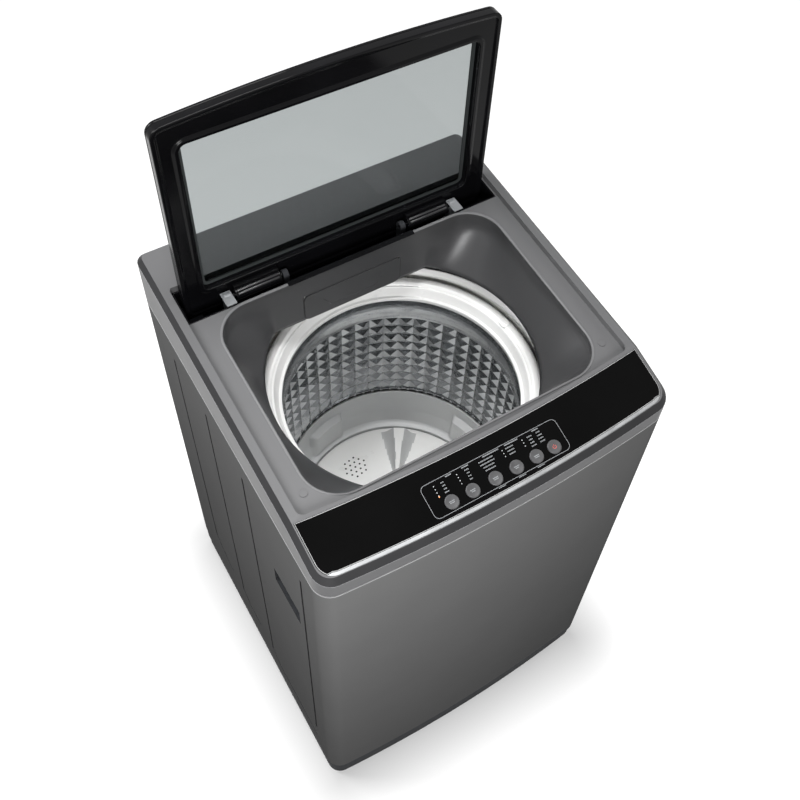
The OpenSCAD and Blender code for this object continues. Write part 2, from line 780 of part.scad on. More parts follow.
module lid_barrels() {
    color([0.04, 0.04, 0.04]) both_sides()
        translate([barrel_x, hinge_y, hinge_z]) rotate([90, 0, 90]) difference() {
        linear_extrude(barrel_l) {
            intersection() {
                circle(r = barrel_r);
                translate([-20, -20]) square([20 + lid_gap, 40]);
            }
            translate([0, -6]) square([lid_gap, 20]);
        }
        translate([0, 0, -over]) cylinder(r = pin_r + slip, h = barrel_l + 2 * over);
    }
}

// ---------------------------------------------------------------- suspension

module corner_brackets() {
    color("silver") for (sx = [0, 1], sy = [0, 1]) mirror([sx, 0, 0]) mirror([0, sy, 0]) difference() {
        union() {
            plate([[half_w - sheet_t, back_y - 3], [half_w - bracket_l, back_y - 3],
                [half_w - bracket_l, back_y - 30], [half_w - 30, back_y - bracket_l],
                [half_w - sheet_t, back_y - bracket_l]], bracket_z, bracket_z + bracket_t);
            box([half_w - sheet_t - 2, back_y - bracket_l, bracket_z - 10],
                [half_w - sheet_t, back_y - 30, bracket_z]);
        }
        translate([rod_x, rod_y, bracket_z - over]) cylinder(r = 8, h = bracket_t + 2 * over);
        // round the cabinet's corner
        difference() {
            box([half_w - 40, back_y - 40, bracket_z - over],
                [half_w, back_y, bracket_z + bracket_t + over]);
            translate([half_w - 40, back_y - 40, bracket_z - over]) cylinder(r = 38, h = bracket_t + 3);
        }
    }
}
module suspension_rods() {
    color("silver") for (p = rod_at) translate([p[0], p[1], cap_z - 12]) {
        cylinder(r = rod_r, h = bracket_z + bracket_t + 7 - cap_z + 12);
        translate([0, 0, bracket_z + bracket_t + 7 - cap_z + 12]) cylinder(r = rod_r + 3, h = 3);
        cylinder(r = rod_r + 3, h = 4);
    }
}
// Plastic seats at the rods' upper ends, and the caps that carry the springs
module rod_ends() {
    color([0.85, 0.85, 0.82]) for (p = rod_at) {
        translate([p[0], p[1], bracket_z + bracket_t]) tube(12, rod_r, 7);
        translate([p[0], p[1], cap_z - 8]) tube(spring_r + 3, rod_r, 8);
    }
}
// One coil spring as a swept tube with flat ends
module coil(r, wire, h, turns) {
    steps = turns * 12;
    sides = 6;
    rise = h - 2 * wire;
    pts = [for (i = [0:steps]) let (a = 360 * i / 12, z = wire + rise * i / steps)
        for (j = [0:sides - 1]) let (b = 360 * j / sides, q = r + wire * cos(b))
            [q * cos(a), q * sin(a), z + wire * sin(b)]];
    faces = concat([[for (j = [sides - 1:-1:0]) j]], [[for (j = [0:sides - 1]) steps * sides + j]],
        [for (i = [0:steps - 1], j = [0:sides - 1]) let (k = (j + 1) % sides)
            [i * sides + j, i * sides + k, (i + 1) * sides + k, (i + 1) * sides + j]]);
    polyhedron(pts, faces, convexity = 10);
}
module suspension_springs() {
    color("silver") for (p = rod_at) translate([p[0], p[1], cap_z])
        coil(spring_r - wire_r, wire_r, spring_h, spring_turns);
}

// ---------------------------------------------------------------- tub

arm_w = 40;
module tub_lug(p) {
    d = [p[0], p[1] - drum_y];
    reach = norm(d);
    translate([0, drum_y, lug_z]) rotate([0, 0, atan2(d[1], d[0])]) {
        translate([tub_r + tub_t / 2, -arm_w / 2, 0]) cube([reach - tub_r - tub_t / 2 - 4, arm_w, lug_h]);
        translate([reach, 0, 0]) cylinder(r = spring_r + 4, h = lug_h);
    }
}
boss_at = [for (sx = [-1, 1], sy = [-1, 1]) [sx * 130, drum_y + sy * 90]];
module outer_tub() {
    color([0.90, 0.90, 0.88]) difference() {
        union() {
            translate([0, drum_y, tub_foot]) cylinder(r = tub_r + tub_t, h = tub_h, $fn = 96);
            for (p = rod_at) tub_lug(p);
            translate([0, drum_y, tub_foot - 14]) cylinder(r = bearing_r + 12, h = 20);
            for (p = boss_at) translate([p[0], p[1], plate_z + 3]) cylinder(r = 14, h = tub_foot - plate_z);
            // sump
            translate([drain_x, sump_y, tub_foot - 12]) cylinder(r = 24, h = 14);
        }
        translate([0, drum_y, tub_foot + 4]) cylinder(r = tub_r, h = tub_h, $fn = 96);
        translate([0, drum_y, tub_foot - 30]) cylinder(r = bearing_r, h = 40);
        for (p = rod_at) translate([p[0], p[1], lug_z - over]) cylinder(r = rod_r + 3, h = lug_h + 2 * over);
        translate([drain_x, sump_y, tub_foot - 20]) cylinder(r = 16, h = 30);
    }
}
drain_x = 60;
sump_y = drum_y - 130;
module tub_cover_ring() {
    color([0.93, 0.93, 0.92]) translate([0, drum_y, 0]) rotate_extrude($fn = 96) polygon([
        [tub_r - 4, ring_top - 4], [tub_r, tub_top], [tub_r + tub_t, tub_top], [tub_r + tub_t, tub_top - 12],
        [tub_r + tub_t + 2, tub_top - 12], [tub_r + tub_t + 2, ring_top + 4], [tub_r + tub_t, ring_top + 6],
        [tub_r + 1, ring_top + 5], [tub_r - 4, ring_top]]);
}
module drive_plate() {
    color([0.25, 0.25, 0.26]) difference() {
        box([-160, drum_y - 115, plate_z], [160, motor_y + motor_r - 12, plate_z + 3]);
        translate([0, drum_y, plate_z - over]) cylinder(r = bearing_r + 14, h = 5);
        translate([0, motor_y, plate_z - over]) cylinder(r = 20, h = 5);
        translate([drain_x, sump_y, plate_z - over]) cylinder(r = 26, h = 5);
    }
}
module gearbox() {
    color([0.60, 0.60, 0.61]) translate([0, drum_y, gearbox_z]) difference() {
        union() {
            cylinder(r = gearbox_r, h = gearbox_h - 24);
            cylinder(r = gearbox_r + 20, h = 6);
            translate([0, 0, gearbox_h - 24]) cylinder(r = gearbox_r - 18, h = 24);
            for (a = [45:90:315]) rotate([0, 0, a])
                translate([gearbox_r - 20, -8, gearbox_h - 30]) cube([26, 16, 30]);
        }
        translate([0, 0, 40]) cylinder(r = spin_shaft_r + slip, h = gearbox_h);
        translate([0, 0, -over]) cylinder(r = wash_shaft_r + slip, h = gearbox_h);
        translate([0, 0, -over]) cylinder(r = end_bearing_r, h = 10 + over);
    }
}
module drive_motor() {
    color([0.35, 0.36, 0.38]) translate([0, motor_y, 0]) difference() {
        union() {
            translate([0, 0, plate_z - motor_h]) cylinder(r = motor_r, h = motor_h);
            translate([0, 0, plate_z - motor_h - 5]) cylinder(r = 24, h = 5);
        }
        translate([0, 0, plate_z - motor_h - 6]) cylinder(r = 6 + slip, h = 40);
    }
}
module drain_valve() {
    color([0.88, 0.88, 0.86]) difference() {
        union() {
            translate([drain_x, sump_y, tub_foot - 62]) cylinder(r = 24, h = 50);
            translate([drain_x, sump_y, tub_foot - 40]) rotate([0, 90, 0]) cylinder(r = 12, h = 70);
            box([drain_x - 62, sump_y - 18, tub_foot - 58], [drain_x - 20, sump_y + 14, tub_foot - 24]);
        }
        translate([drain_x, sump_y, tub_foot - 56]) cylinder(r = 16, h = 50);
        translate([drain_x, sump_y, tub_foot - 40]) rotate([0, 90, 0]) cylinder(r = 9, h = 72);
    }
}
module shaft_bearings() {
    color("silver") {
        translate([0, drum_y, tub_foot - 14]) tube(bearing_r, spin_shaft_r + slip, 12);
        translate([0, drum_y, gearbox_z]) tube(end_bearing_r, wash_shaft_r + slip, 10);
    }
}
module shaft_seal() {
    color([0.10, 0.10, 0.10]) translate([0, drum_y, tub_foot - 2]) tube(bearing_r, spin_shaft_r + slip, 7);
}

// ---------------------------------------------------------------- drum

module drum_shell() {
    color([0.78, 0.78, 0.79]) translate([0, drum_y, drum_foot - 6]) tube(drum_r + 1.5, drum_r, drum_h + 6);
}
module balance_ring() {
    color([0.94, 0.94, 0.93]) translate([0, drum_y, 0]) rotate_extrude($fn = 96) polygon(concat(
        [[ring_in + 1, drum_top - 9], [drum_r - 1, drum_top - 9], [drum_r - 1, drum_top],
            [ring_out - 4, drum_top], [ring_out, drum_top + 4]],
        arc_points([ring_out - 9, ring_top - 9], 9, 0, 90, 5),
        [[ring_out - 20, ring_top], [ring_in + 9, ring_top - 7], [ring_in + 6, ring_top - 15],
            [ring_in, ring_top - 18], [ring_in - 1, ring_top - 22]]));
}
slots = 12;
module drum_base() {
    color([0.92, 0.92, 0.91]) translate([0, drum_y, 0]) difference() {
        rotate_extrude($fn = 96) polygon([
            [0, basket_floor - 4], [pulsator_r - 20, basket_floor - 4], [pulsator_r + 4, basket_floor],
            [drum_r - 2, basket_floor + 30], [drum_r - 0.2, drum_foot - 10], [drum_r + 1.5, drum_foot - 10],
            [drum_r + 1.5, drum_foot - 6], [drum_r - 0.1, drum_foot - 6], [drum_r - 0.1, drum_foot],
            [drum_r - 3, drum_foot], [drum_r - 6, basket_floor + 40], [pulsator_r + 2.5, pulsator_z + 4],
            [pulsator_r + 2, basket_floor], [0, basket_floor]]);
        translate([0, 0, basket_floor - 6]) cylinder(r = spin_shaft_r - 1, h = 10);
        for (k = [0:slots - 1]) rotate([0, 0, k * 360 / slots])
            translate([70, -3, basket_floor - 6]) cube([50, 6, 10]);
    }
}
hub_r = 62;
module spin_shaft() {
    color([0.66, 0.67, 0.68]) translate([0, drum_y, 0]) difference() {
        union() {
            translate([0, 0, gearbox_z + 44])
                cylinder(r = spin_shaft_r, h = basket_floor - 4 - gearbox_z - 44);
            translate([0, 0, basket_floor - 14]) cylinder(r = hub_r, h = 10);
        }
        translate([0, 0, gearbox_z]) cylinder(r = wash_shaft_r + slip, h = pulsator_z - gearbox_z);
    }
}

// ---------------------------------------------------------------- pulsator and drive

vane_turn = 57;
module vane() {
    intersection() {
        rotate([90, 0, 0]) translate([0, 0, -30]) linear_extrude(60)
            polygon([[26, pulsator_z - 4], [pulsator_r - 12, pulsator_z - 4],
                [pulsator_r - 20, pulsator_z + 20], [60, pulsator_z + 26], [26, pulsator_z + 30]]);
        translate([0, 0, pulsator_z - 5]) linear_extrude(60)
            polygon([[20, -14], [60, -6], [pulsator_r - 40, -7], [pulsator_r - 10, -26],
                [pulsator_r - 10, 26], [pulsator_r - 40, 7], [60, 6], [20, 14]]);
    }
}
module pulsator() {
    color([0.90, 0.90, 0.89]) translate([0, drum_y, 0]) difference() {
        union() {
            rotate_extrude($fn = 96) polygon([[0, pulsator_z - 6], [pulsator_r, pulsator_z - 4],
                [pulsator_r, pulsator_z], [pulsator_r - 14, pulsator_z - 1], [60, pulsator_z + 6],
                [34, pulsator_z + 16], [24, pulsator_z + 30], [0, pulsator_z + 32]]);
            for (k = [0:vanes - 1]) rotate([0, 0, vane_turn + k * 360 / vanes]) vane();
        }
        translate([0, 0, pulsator_z - 20]) cylinder(r = wash_shaft_r - 2, h = 48);
        translate([0, 0, pulsator_z + 20]) cylinder(r = 12, h = 20);
    }
}
module pulsator_cap() {
    color([0.86, 0.86, 0.86]) translate([0, drum_y, pulsator_z + 20]) cylinder(r = 12, h = 13);
}
module wash_shaft() {
    color("silver") translate([0, drum_y, 0]) {
        translate([0, 0, pulley_z - 6]) cylinder(r = wash_shaft_r, h = pulsator_z - 6 - pulley_z + 6);
        translate([0, 0, pulsator_z - 6]) cylinder(r = wash_shaft_r - 2, h = 26);
        // gearbox pulley on the shaft's lower end
        pulley(big_pulley_r);
    }
}
module pulley(r) {
    translate([0, 0, pulley_z]) rotate_extrude() polygon([[0, 0], [r + 3, 0], [r + 3, 2], [r, 4],
        [r, pulley_h - 4], [r + 3, pulley_h - 2], [r + 3, pulley_h], [0, pulley_h]]);
}
belt_t = 3;
function belt_outline(grow) =
    let (r1 = big_pulley_r + play + grow, r2 = small_pulley_r + play + grow,
        a = acos((r1 - r2) / drive_centres))
    concat(arc_points([0, drum_y], r1, 90 + a, 450 - a, 32),
        arc_points([0, motor_y], r2, 90 - a, 90 + a, 18));
module drive_belt() {
    color([0.08, 0.08, 0.08]) difference() {
        plate(belt_outline(belt_t), pulley_z + 4.3, pulley_z + pulley_h - 4.3);
        plate(belt_outline(0), pulley_z, pulley_z + pulley_h);
    }
}
module motor_pulley() {
    color("silver") translate([0, motor_y, 0]) {
        pulley(small_pulley_r);
        translate([0, 0, pulley_z - 4]) cylinder(r = 6, h = plate_z - motor_h + 30 - pulley_z + 4);
    }
}

cabinet_wrap();
back_panel();
service_cover();
base_frame();
fixed_feet();
adjustable_foot();
foot_locknut();
grip_cup_left();
grip_cup_right();
corner_brackets();
case_screws();
cord_gland();
drain_outlet();
inlet_valve();
pressure_sensor();
run_capacitor();
top_cover();
well_funnel();
hinge_trough();
hinge_lugs();
hinge_pins();
lid_switch();
lid_bumpers();
control_fascia();
fascia_trim();
board_case();
control_board();
tact_switches();
button(0);  // button_1
button(1);  // button_2
button(2);  // button_3
button(3);  // button_4
button(4);  // button_5
button(5);  // button_6
dispenser_housing();
detergent_drawer();
lid_frame();
lid_glass();
lid_rim();
lid_barrels();
suspension_rods();
rod_ends();
suspension_springs();
outer_tub();
tub_cover_ring();
drive_plate();
gearbox();
drive_motor();
drain_valve();
shaft_bearings();
shaft_seal();
drive_belt();
drum_shell();
balance_ring();
drum_base();
spin_shaft();
pulsator();
wash_shaft();
pulsator_cap();
motor_pulley();
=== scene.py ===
"""A top load washing machine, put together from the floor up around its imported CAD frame.

The steel cabinet stands on a plastic base, the tub with its drum and drive hangs inside it on four
sprung rods, and the wedge shaped cover on top carries the well, the control panel and the glass lid.
"""

import math

import bmesh
import bpy
from mathutils import Matrix, Vector


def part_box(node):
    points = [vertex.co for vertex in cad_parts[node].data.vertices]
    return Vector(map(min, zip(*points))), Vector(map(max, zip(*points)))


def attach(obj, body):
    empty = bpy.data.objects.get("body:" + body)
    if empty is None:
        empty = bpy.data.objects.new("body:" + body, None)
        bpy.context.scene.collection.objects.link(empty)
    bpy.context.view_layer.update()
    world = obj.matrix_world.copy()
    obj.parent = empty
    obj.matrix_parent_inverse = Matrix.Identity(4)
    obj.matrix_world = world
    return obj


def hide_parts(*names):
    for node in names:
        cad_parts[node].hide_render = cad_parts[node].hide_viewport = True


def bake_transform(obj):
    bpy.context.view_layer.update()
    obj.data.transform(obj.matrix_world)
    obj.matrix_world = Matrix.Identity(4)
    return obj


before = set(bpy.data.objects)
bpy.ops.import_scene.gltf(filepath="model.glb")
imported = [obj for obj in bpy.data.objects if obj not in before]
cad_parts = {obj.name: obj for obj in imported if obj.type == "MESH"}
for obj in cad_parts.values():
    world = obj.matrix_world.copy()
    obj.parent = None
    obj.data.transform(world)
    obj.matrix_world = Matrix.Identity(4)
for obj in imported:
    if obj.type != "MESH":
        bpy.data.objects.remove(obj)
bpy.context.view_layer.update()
bpy.context.scene.view_settings.view_transform = "Standard"


# --- Camera ---
# It stands in front of the machine's left corner, well above the open lid, and looks steeply down
# into the drum. Its lens and shift give the framing.
SENSOR = 36.0
lens_data = bpy.data.cameras.new("camera")
lens_data.sensor_width = SENSOR
lens_data.lens = 1.2821 * SENSOR
lens_data.shift_x = -0.0288
lens_data.shift_y = -0.1007
lens_data.clip_end = 50
camera = bpy.data.objects.new("camera", lens_data)
camera.matrix_world = (
    Matrix.Translation((-0.4498, -0.6912, 1.9043))
    @ Matrix.Rotation(math.radians(-35.16), 4, "Z")
    @ Matrix.Rotation(math.radians(90 - 52.01), 4, "X")
    @ Matrix.Rotation(math.radians(4.46), 4, "Z")
)
bpy.context.collection.objects.link(camera)
bpy.context.scene.camera = camera


# --- Studio ---
# A seamless pale floor under large soft boxes. The floor is matt, so that it keeps the machine's
# shadow, and it and the world are white to the eye, in reflections and through glass.
def linear(code):
    """The linear colour of an sRGB hex code such as #A0A4A8."""
    parts = [int(code[i:i + 2], 16) / 255 for i in (1, 3, 5)]
    return [p / 12.92 if p <= 0.04045 else ((p + 0.055) / 1.055) ** 2.4 for p in parts] + [1.0]


def add(tree, kind, inputs=(), **settings):
    """Adds a shader node. Each input is a value, or the output socket that feeds it."""
    made = tree.nodes.new("ShaderNode" + kind)
    for name, value in settings.items():
        setattr(made, name, value)
    for socket, value in dict(inputs).items():
        if isinstance(value, bpy.types.NodeSocket):
            tree.links.new(value, made.inputs[socket])
        else:
            made.inputs[socket].default_value = value
    return made


# A Mix node's colour sockets
MIX_A, MIX_B, MIX_OUT = 6, 7, 2


def new_material(name, **sockets):
    """A material of one Principled shader, with its constant values set on the shader itself."""
    material = bpy.data.materials.new(name)
    material.use_nodes = True
    shader = material.node_tree.nodes["Principled BSDF"]
    for socket, value in sockets.items():
        shader.inputs[socket.replace("_", " ")].default_value = value
    return material, material.node_tree, shader


def seen_share(tree):
    """1 where the eye, a mirror or glass looks, and 0 where light falls on things."""
    path = add(tree, "LightPath")
    seen = path.outputs["Is Camera Ray"]
    for ray in ("Is Glossy Ray", "Is Transmission Ray"):
        seen = add(tree, "Math", {0: seen, 1: path.outputs[ray]}, operation="MAXIMUM").outputs[0]
    return seen


world = bpy.data.worlds.new("studio")
bpy.context.scene.world = world
world.use_nodes = True
sky = world.node_tree.nodes["Background"]
sky.inputs["Color"].default_value = (1, 1, 1, 1)
level = add(world.node_tree, "MapRange", {"Value": seen_share(world.node_tree), "To Min": 0.12})
world.node_tree.links.new(level.outputs["Result"], sky.inputs["Strength"])

# Matt paper, lit like any surface. A glow that lights nothing lifts it to white, and less of it
# close round the machine's foot paints a contact shadow there. The paper throws little light back up
PAPER, PAPER_UNLIT = "#A0A0A0", "#505050"
FOOTPRINT, PAINTED_SHADOW_BAND = (0.25, 0.265, 0), 0.12
paper, tree, shader = new_material(
    "studio_paper", Roughness=0.95, Specular_IOR_Level=0.1, Emission_Color=(1, 1, 1, 1))
place = add(tree, "TexCoord")
away = add(tree, "VectorMath", {0: place.outputs["Object"]}, operation="ABSOLUTE")
away = add(tree, "VectorMath", {0: away.outputs[0], 1: FOOTPRINT}, operation="SUBTRACT")
away = add(tree, "VectorMath", {0: away.outputs[0], 1: (0, 0, 0)}, operation="MAXIMUM")
away = add(tree, "VectorMath", {0: away.outputs[0]}, operation="LENGTH")
# The glow dims towards the machine's footprint: a painted contact shadow
glow = add(tree, "MapRange", {"Value": away.outputs["Value"], "From Max": PAINTED_SHADOW_BAND, "To Min": 0.3,
                              "To Max": 0.8})
seen = seen_share(tree)
glow = add(tree, "Math", {0: glow.outputs["Result"], 1: seen}, operation="MULTIPLY")
tree.links.new(glow.outputs[0], shader.inputs["Emission Strength"])
tint = add(tree, "Mix", {0: seen, MIX_A: linear(PAPER_UNLIT), MIX_B: linear(PAPER)}, data_type="RGBA")
tree.links.new(tint.outputs[MIX_OUT], shader.inputs["Base Color"])

shape = bmesh.new()
bmesh.ops.create_grid(shape, x_segments=4, y_segments=4, size=12)
floor = bpy.data.objects.new("floor", bpy.data.meshes.new("floor"))
shape.to_mesh(floor.data)
shape.free()
floor.data.materials.append(paper)
bpy.context.collection.objects.link(floor)


def soft_box(name, place, target, size, power):
    """A square lamp that faces its target and that the camera doesn't see."""
    lamp = bpy.data.lights.new(name, "AREA")
    lamp.shape = "SQUARE"
    lamp.size = size
    lamp.energy = power
    holder = bpy.data.objects.new(name, lamp)
    holder.location = place
    holder.rotation_euler = (Vector(target) - Vector(place)).to_track_quat("-Z", "Y").to_euler()
    holder.visible_camera = False
    bpy.context.collection.objects.link(holder)


soft_box("overhead", (0, 0.2, 2.7), (0, 0, 0.6), 0.8, 48)
soft_box("left_window", (-1.1, 0.7, 1.9), (-0.1, 0.1, 0.7), 0.7, 29)
soft_box("front_window", (-0.55, -1.15, 1.4), (-0.1, -0.1, 0.6), 0.5, 24)
soft_box("right_window", (1.9, -0.1, 2.0), (0, 0, 0.6), 0.8, 14)


# --- Base frame and feet ---
# The base is one injection moulding of dark polypropylene, open in the middle, that the cabinet's
# lower edge drops round. It stands on three moulded feet and one that screws up and down.
def noise_of(tree, size, detail):
    """Random noise fixed to the piece, its spots of a size in millimetres."""
    place = add(tree, "TexCoord")
    return add(tree, "TexNoise", {"Vector": place.outputs["Object"], "Scale": 1000 / size, "Detail": detail})


def add_grain(tree, shader, size, depth, detail=2.0):
    """Bump of a random grain: the size of its spots and its depth are in millimetres."""
    noise = noise_of(tree, size, detail)
    bump = add(tree, "Bump", {"Height": noise.outputs["Fac"], "Distance": depth / 1000})
    tree.links.new(bump.outputs["Normal"], shader.inputs["Normal"])


def vary(tree, shader, share, dark, light, rough):
    """Lets the colour run from dark to light with a share, and the roughness through a pair of values.

    A roughness that is one number stays the same all over.
    """
    tint = add(tree, "Mix", {0: share, MIX_A: linear(dark), MIX_B: linear(light)}, data_type="RGBA")
    tree.links.new(tint.outputs[MIX_OUT], shader.inputs["Base Color"])
    if isinstance(rough, tuple):
        level = add(tree, "MapRange", {"Value": share, "To Min": rough[0], "To Max": rough[1]})
        tree.links.new(level.outputs["Result"], shader.inputs["Roughness"])
    else:
        shader.inputs["Roughness"].default_value = rough


def surface(name, size, dark, light, rough, grain=None, specular=0.5, **sockets):
    """A material that varies slowly, as vary says, over patches of a size in millimetres.

    The grain, if there is one, is its size, depth and detail.
    """
    material, tree, shader = new_material(name, Specular_IOR_Level=specular, **sockets)
    noise = noise_of(tree, size, 4.0)
    share = add(tree, "MapRange", {"Value": noise.outputs["Fac"], "From Min": 0.3, "From Max": 0.7})
    vary(tree, shader, share.outputs["Result"], dark, light, rough)
    if grain:
        add_grain(tree, shader, *grain)
    return material


def coat(material, *names):
    """Gives CAD nodes a material."""
    for name in names:
        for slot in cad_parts[name].material_slots:
            slot.material = material


SHARP = 35


def finish_piece(shape, name, materials, body, replaces=(), smooth=None):
    """Turns a bmesh into a piece of a body, in one material or a list of them.

    Its flat faces shade flat and their rounded edges carry the turn. If smooth is given, the whole piece
    shades smooth except at edges sharper than so many degrees, and 0 leaves every face flat.
    """
    mesh = bpy.data.meshes.new(name)
    shape.to_mesh(mesh)
    shape.free()
    for material in materials if isinstance(materials, list) else [materials]:
        mesh.materials.append(material)
    mesh.polygons.foreach_set("use_smooth", [smooth != 0] * len(mesh.polygons))
    if smooth != 0:
        mesh.set_sharp_from_angle(angle=math.radians(smooth or SHARP))
    piece = bpy.data.objects.new(name, mesh)
    bpy.context.collection.objects.link(piece)
    if body:
        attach(piece, body)
    if replaces:
        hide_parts(*replaces)
    if smooth is None:
        piece.modifiers.new("shading", "WEIGHTED_NORMAL").keep_sharp = True
    return piece


def turned_edges(shape, corner=25):
    """The edges where the faces of a shape turn more than corner degrees."""
    return [e for e in shape.edges if e.is_manifold and e.calc_face_angle(0) > math.radians(corner)]


def round_edges(shape, edges, radius, segments=2, clamp=False):
    """Rounds edges of a shape, and gives back the new faces."""
    return bmesh.ops.bevel(shape, geom=edges, offset=radius, affect="EDGES", segments=segments, profile=0.5,
                           material=-1, clamp_overlap=clamp)["faces"]


def node_copy(node, radius=0.0, segments=2):
    """A merged bmesh of a CAD node, with its edges rounded by a radius in millimetres."""
    shape = bmesh.new()
    shape.from_mesh(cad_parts[node].data)
    bmesh.ops.remove_doubles(shape, verts=shape.verts, dist=0.00001)
    bmesh.ops.dissolve_limit(shape, angle_limit=0.001, verts=shape.verts, edges=shape.edges)
    if radius:
        round_edges(shape, turned_edges(shape), radius / 1000, segments, clamp=True)
    return shape


def soften(node, radius, name, material, body, segments=2, smooth=None):
    """Remakes a CAD node as a piece with rounded edges."""
    return finish_piece(node_copy(node, radius, segments), name, material, body, [node], smooth)


# Dark polypropylene, spark eroded mould: a dull near black with a fine even grain
dark_moulding = surface(
    "dark_polypropylene", 60, "#28292B", "#303134", (0.50, 0.62), grain=(0.9, 0.05), specular=0.05)
soften("base_frame", 0.8, "base_moulding", dark_moulding, "root")
coat(dark_moulding, "fixed_feet", "adjustable_foot")


# --- Cabinet ---
# One wrap of 1 mm sheet steel bent round both sides and the bowed front, with pressed grooves and a
# hole for each carrying grip. It is powder coated in satin grey, after it is formed.
def cut(shape, point, normal):
    """Cuts the faces of a shape along a plane."""
    bmesh.ops.bisect_plane(shape, plane_co=point, plane_no=normal, dist=0.000001,
                           geom=shape.verts[:] + shape.edges[:] + shape.faces[:])


# Powder coat flows out to a faint orange peel, drawn at 1.6 mm
powder_coat = surface(
    "powder_coated_steel", 90, "#636363", "#656565", (0.48, 0.52), grain=(1.6, 0.02), specular=0.0)
# A band along the folded upper edge is painted pale, a painted highlight where the edge catches the light
fold_highlight_paint = surface("painted_highlight_steel", 40, "#868687", "#929293", 0.4)
# The pressed grooves' slanting flanks are painted darker, a painted shade in the grooves
groove_shade_paint = surface("painted_groove_shade", 40, "#272728", "#2D2D2E", 0.6, specular=0.02)

cabinet_lo, cabinet_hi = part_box("cabinet_wrap")
# Its lowest band is masked off and sprayed black, and a band along its folded upper edge carries a painted
# highlight
BLACK_BAND, FOLD_HIGHLIGHT = 0.014, 0.002
GROOVE_SHADE_REACH, CORNER_REACH = 0.004, 0.035
shape = node_copy("cabinet_wrap", 0.45)
for level in (cabinet_lo.z + BLACK_BAND, cabinet_hi.z - FOLD_HIGHLIGHT):
    cut(shape, (0, 0, level), (0, 0, 1))
shape.normal_update()
for face in shape.faces:
    middle = face.calc_center_median()
    # Slanting faces on the sides, near the grooves, take the painted groove shade
    flank = abs(face.normal.x) < 0.9 and abs(middle.x) > cabinet_hi.x - GROOVE_SHADE_REACH
    if middle.z < cabinet_lo.z + BLACK_BAND:
        face.material_index = 1
    elif middle.z > cabinet_hi.z - FOLD_HIGHLIGHT:
        face.material_index = 2
    elif flank and cabinet_lo.y + CORNER_REACH < middle.y < cabinet_hi.y - CORNER_REACH:
        face.material_index = 3
finish_piece(shape, "cabinet_sheet", [powder_coat, dark_moulding, fold_highlight_paint, groove_shade_paint],
             "root", ["cabinet_wrap"])

# Hot dip galvanised sheet: pale grey with spangles that turn from matt to bright
SPANGLE = 12
galvanised, tree, shader = new_material("galvanised_sheet", Metallic=0.85)
place = add(tree, "TexCoord")
spangle = add(tree, "TexVoronoi", {"Vector": place.outputs["Object"], "Scale": 1000 / SPANGLE}, feature="F1")
vary(tree, shader, spangle.outputs["Color"], "#9EA2A5", "#B4B7B9", (0.34, 0.56))
soften("back_panel", 0.4, "back_sheet", galvanised, "root")
coat(galvanised, "corner_brackets", "drive_plate")

# Zinc plated steel of the screws, rods and nuts: bright, with faint turning marks
plated_steel = surface("zinc_plated_steel", 8, "#A8AAAC", "#C6C8CA", (0.22, 0.36), Metallic=1.0)
coat(plated_steel, "case_screws", "foot_locknut", "suspension_rods", "wash_shaft", "spin_shaft",
     "shaft_bearings")

# Moulded grey polypropylene of the service cover and the small fittings inside
grey_moulding = surface("grey_polypropylene", 40, "#86888B", "#8E9093", (0.45, 0.56), grain=(1.0, 0.04))
soften("service_cover", 0.8, "service_plate", grey_moulding, "root")

# The grips' cups are moulded in the same dark plastic as the base
for side in ("left", "right"):
    soften("grip_cup_" + side, 1.0, "grip_" + side, dark_moulding, "root")


# --- Drive and suspension ---
# An induction motor turns a cast gearbox through a belt. The gearbox and motor hang on a steel plate
# under the tub, and four rods with springs at their feet carry it all from the cabinet's corners.
# Die cast skin, with its flow marks and pits drawn at 1.4 mm
cast_alloy = surface(
    "die_cast_aluminium", 15, "#95979A", "#ACAEB0", (0.42, 0.6), grain=(1.4, 0.12, 4.0), Metallic=1.0)
coat(cast_alloy, "gearbox", "motor_pulley")

# Black baked enamel on the motor's steel shell
motor_enamel = surface("baked_enamel", 30, "#36383C", "#404246", (0.3, 0.42), grain=(2.0, 0.05))
coat(motor_enamel, "drive_motor", "run_capacitor")

# Black nitrile rubber, moulded: soft edged, dusty and quite matt
black_rubber = surface("nitrile_rubber", 25, "#171718", "#232324", (0.68, 0.85), grain=(0.6, 0.03))
coat(black_rubber, "drive_belt", "shaft_seal", "cord_gland")

# Milky polypropylene of the tub, with a slight sheen
tub_moulding = surface(
    "white_polypropylene", 120, "#DEDEDA", "#E6E6E2", (0.38, 0.48), grain=(1.2, 0.03), Subsurface_Weight=0.05,
    Subsurface_Radius=(0.004, 0.004, 0.003))
coat(tub_moulding, "outer_tub", "drain_valve", "dispenser_housing", "inlet_valve", "rod_ends", "board_case")
coat(grey_moulding, "drain_outlet", "pressure_sensor")
coat(dark_moulding, "tact_switches")

# Spring wire, oil hardened and phosphated: dark with a soft sheen
spring_wire = surface("spring_steel", 6, "#64666A", "#7A7C80", (0.32, 0.48), Metallic=1.0)
coils = soften("suspension_springs", 0, "spring_coils", spring_wire, "", smooth=SHARP)
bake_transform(coils)

# Glass fibre board under a green solder mask
solder_mask = surface("solder_mask", 5, "#1A6035", "#237544", (0.25, 0.38))
coat(solder_mask, "control_board")


# --- Drum base ---
# A grey polypropylene moulding: a rounded lip under the steel wall, a steep wall with four raised
# pads, a soft fillet, and a sunk floor that the pulsator turns in. It is screwed to the spin shaft.
def arc(centre, radius, start, end, steps):
    """Points of an arc in the plane of radius and height, in millimetres and degrees."""
    turns = [math.radians(start + (end - start) * step / steps) for step in range(steps + 1)]
    return [(centre[0] + radius * math.cos(turn), centre[1] + radius * math.sin(turn)) for turn in turns]


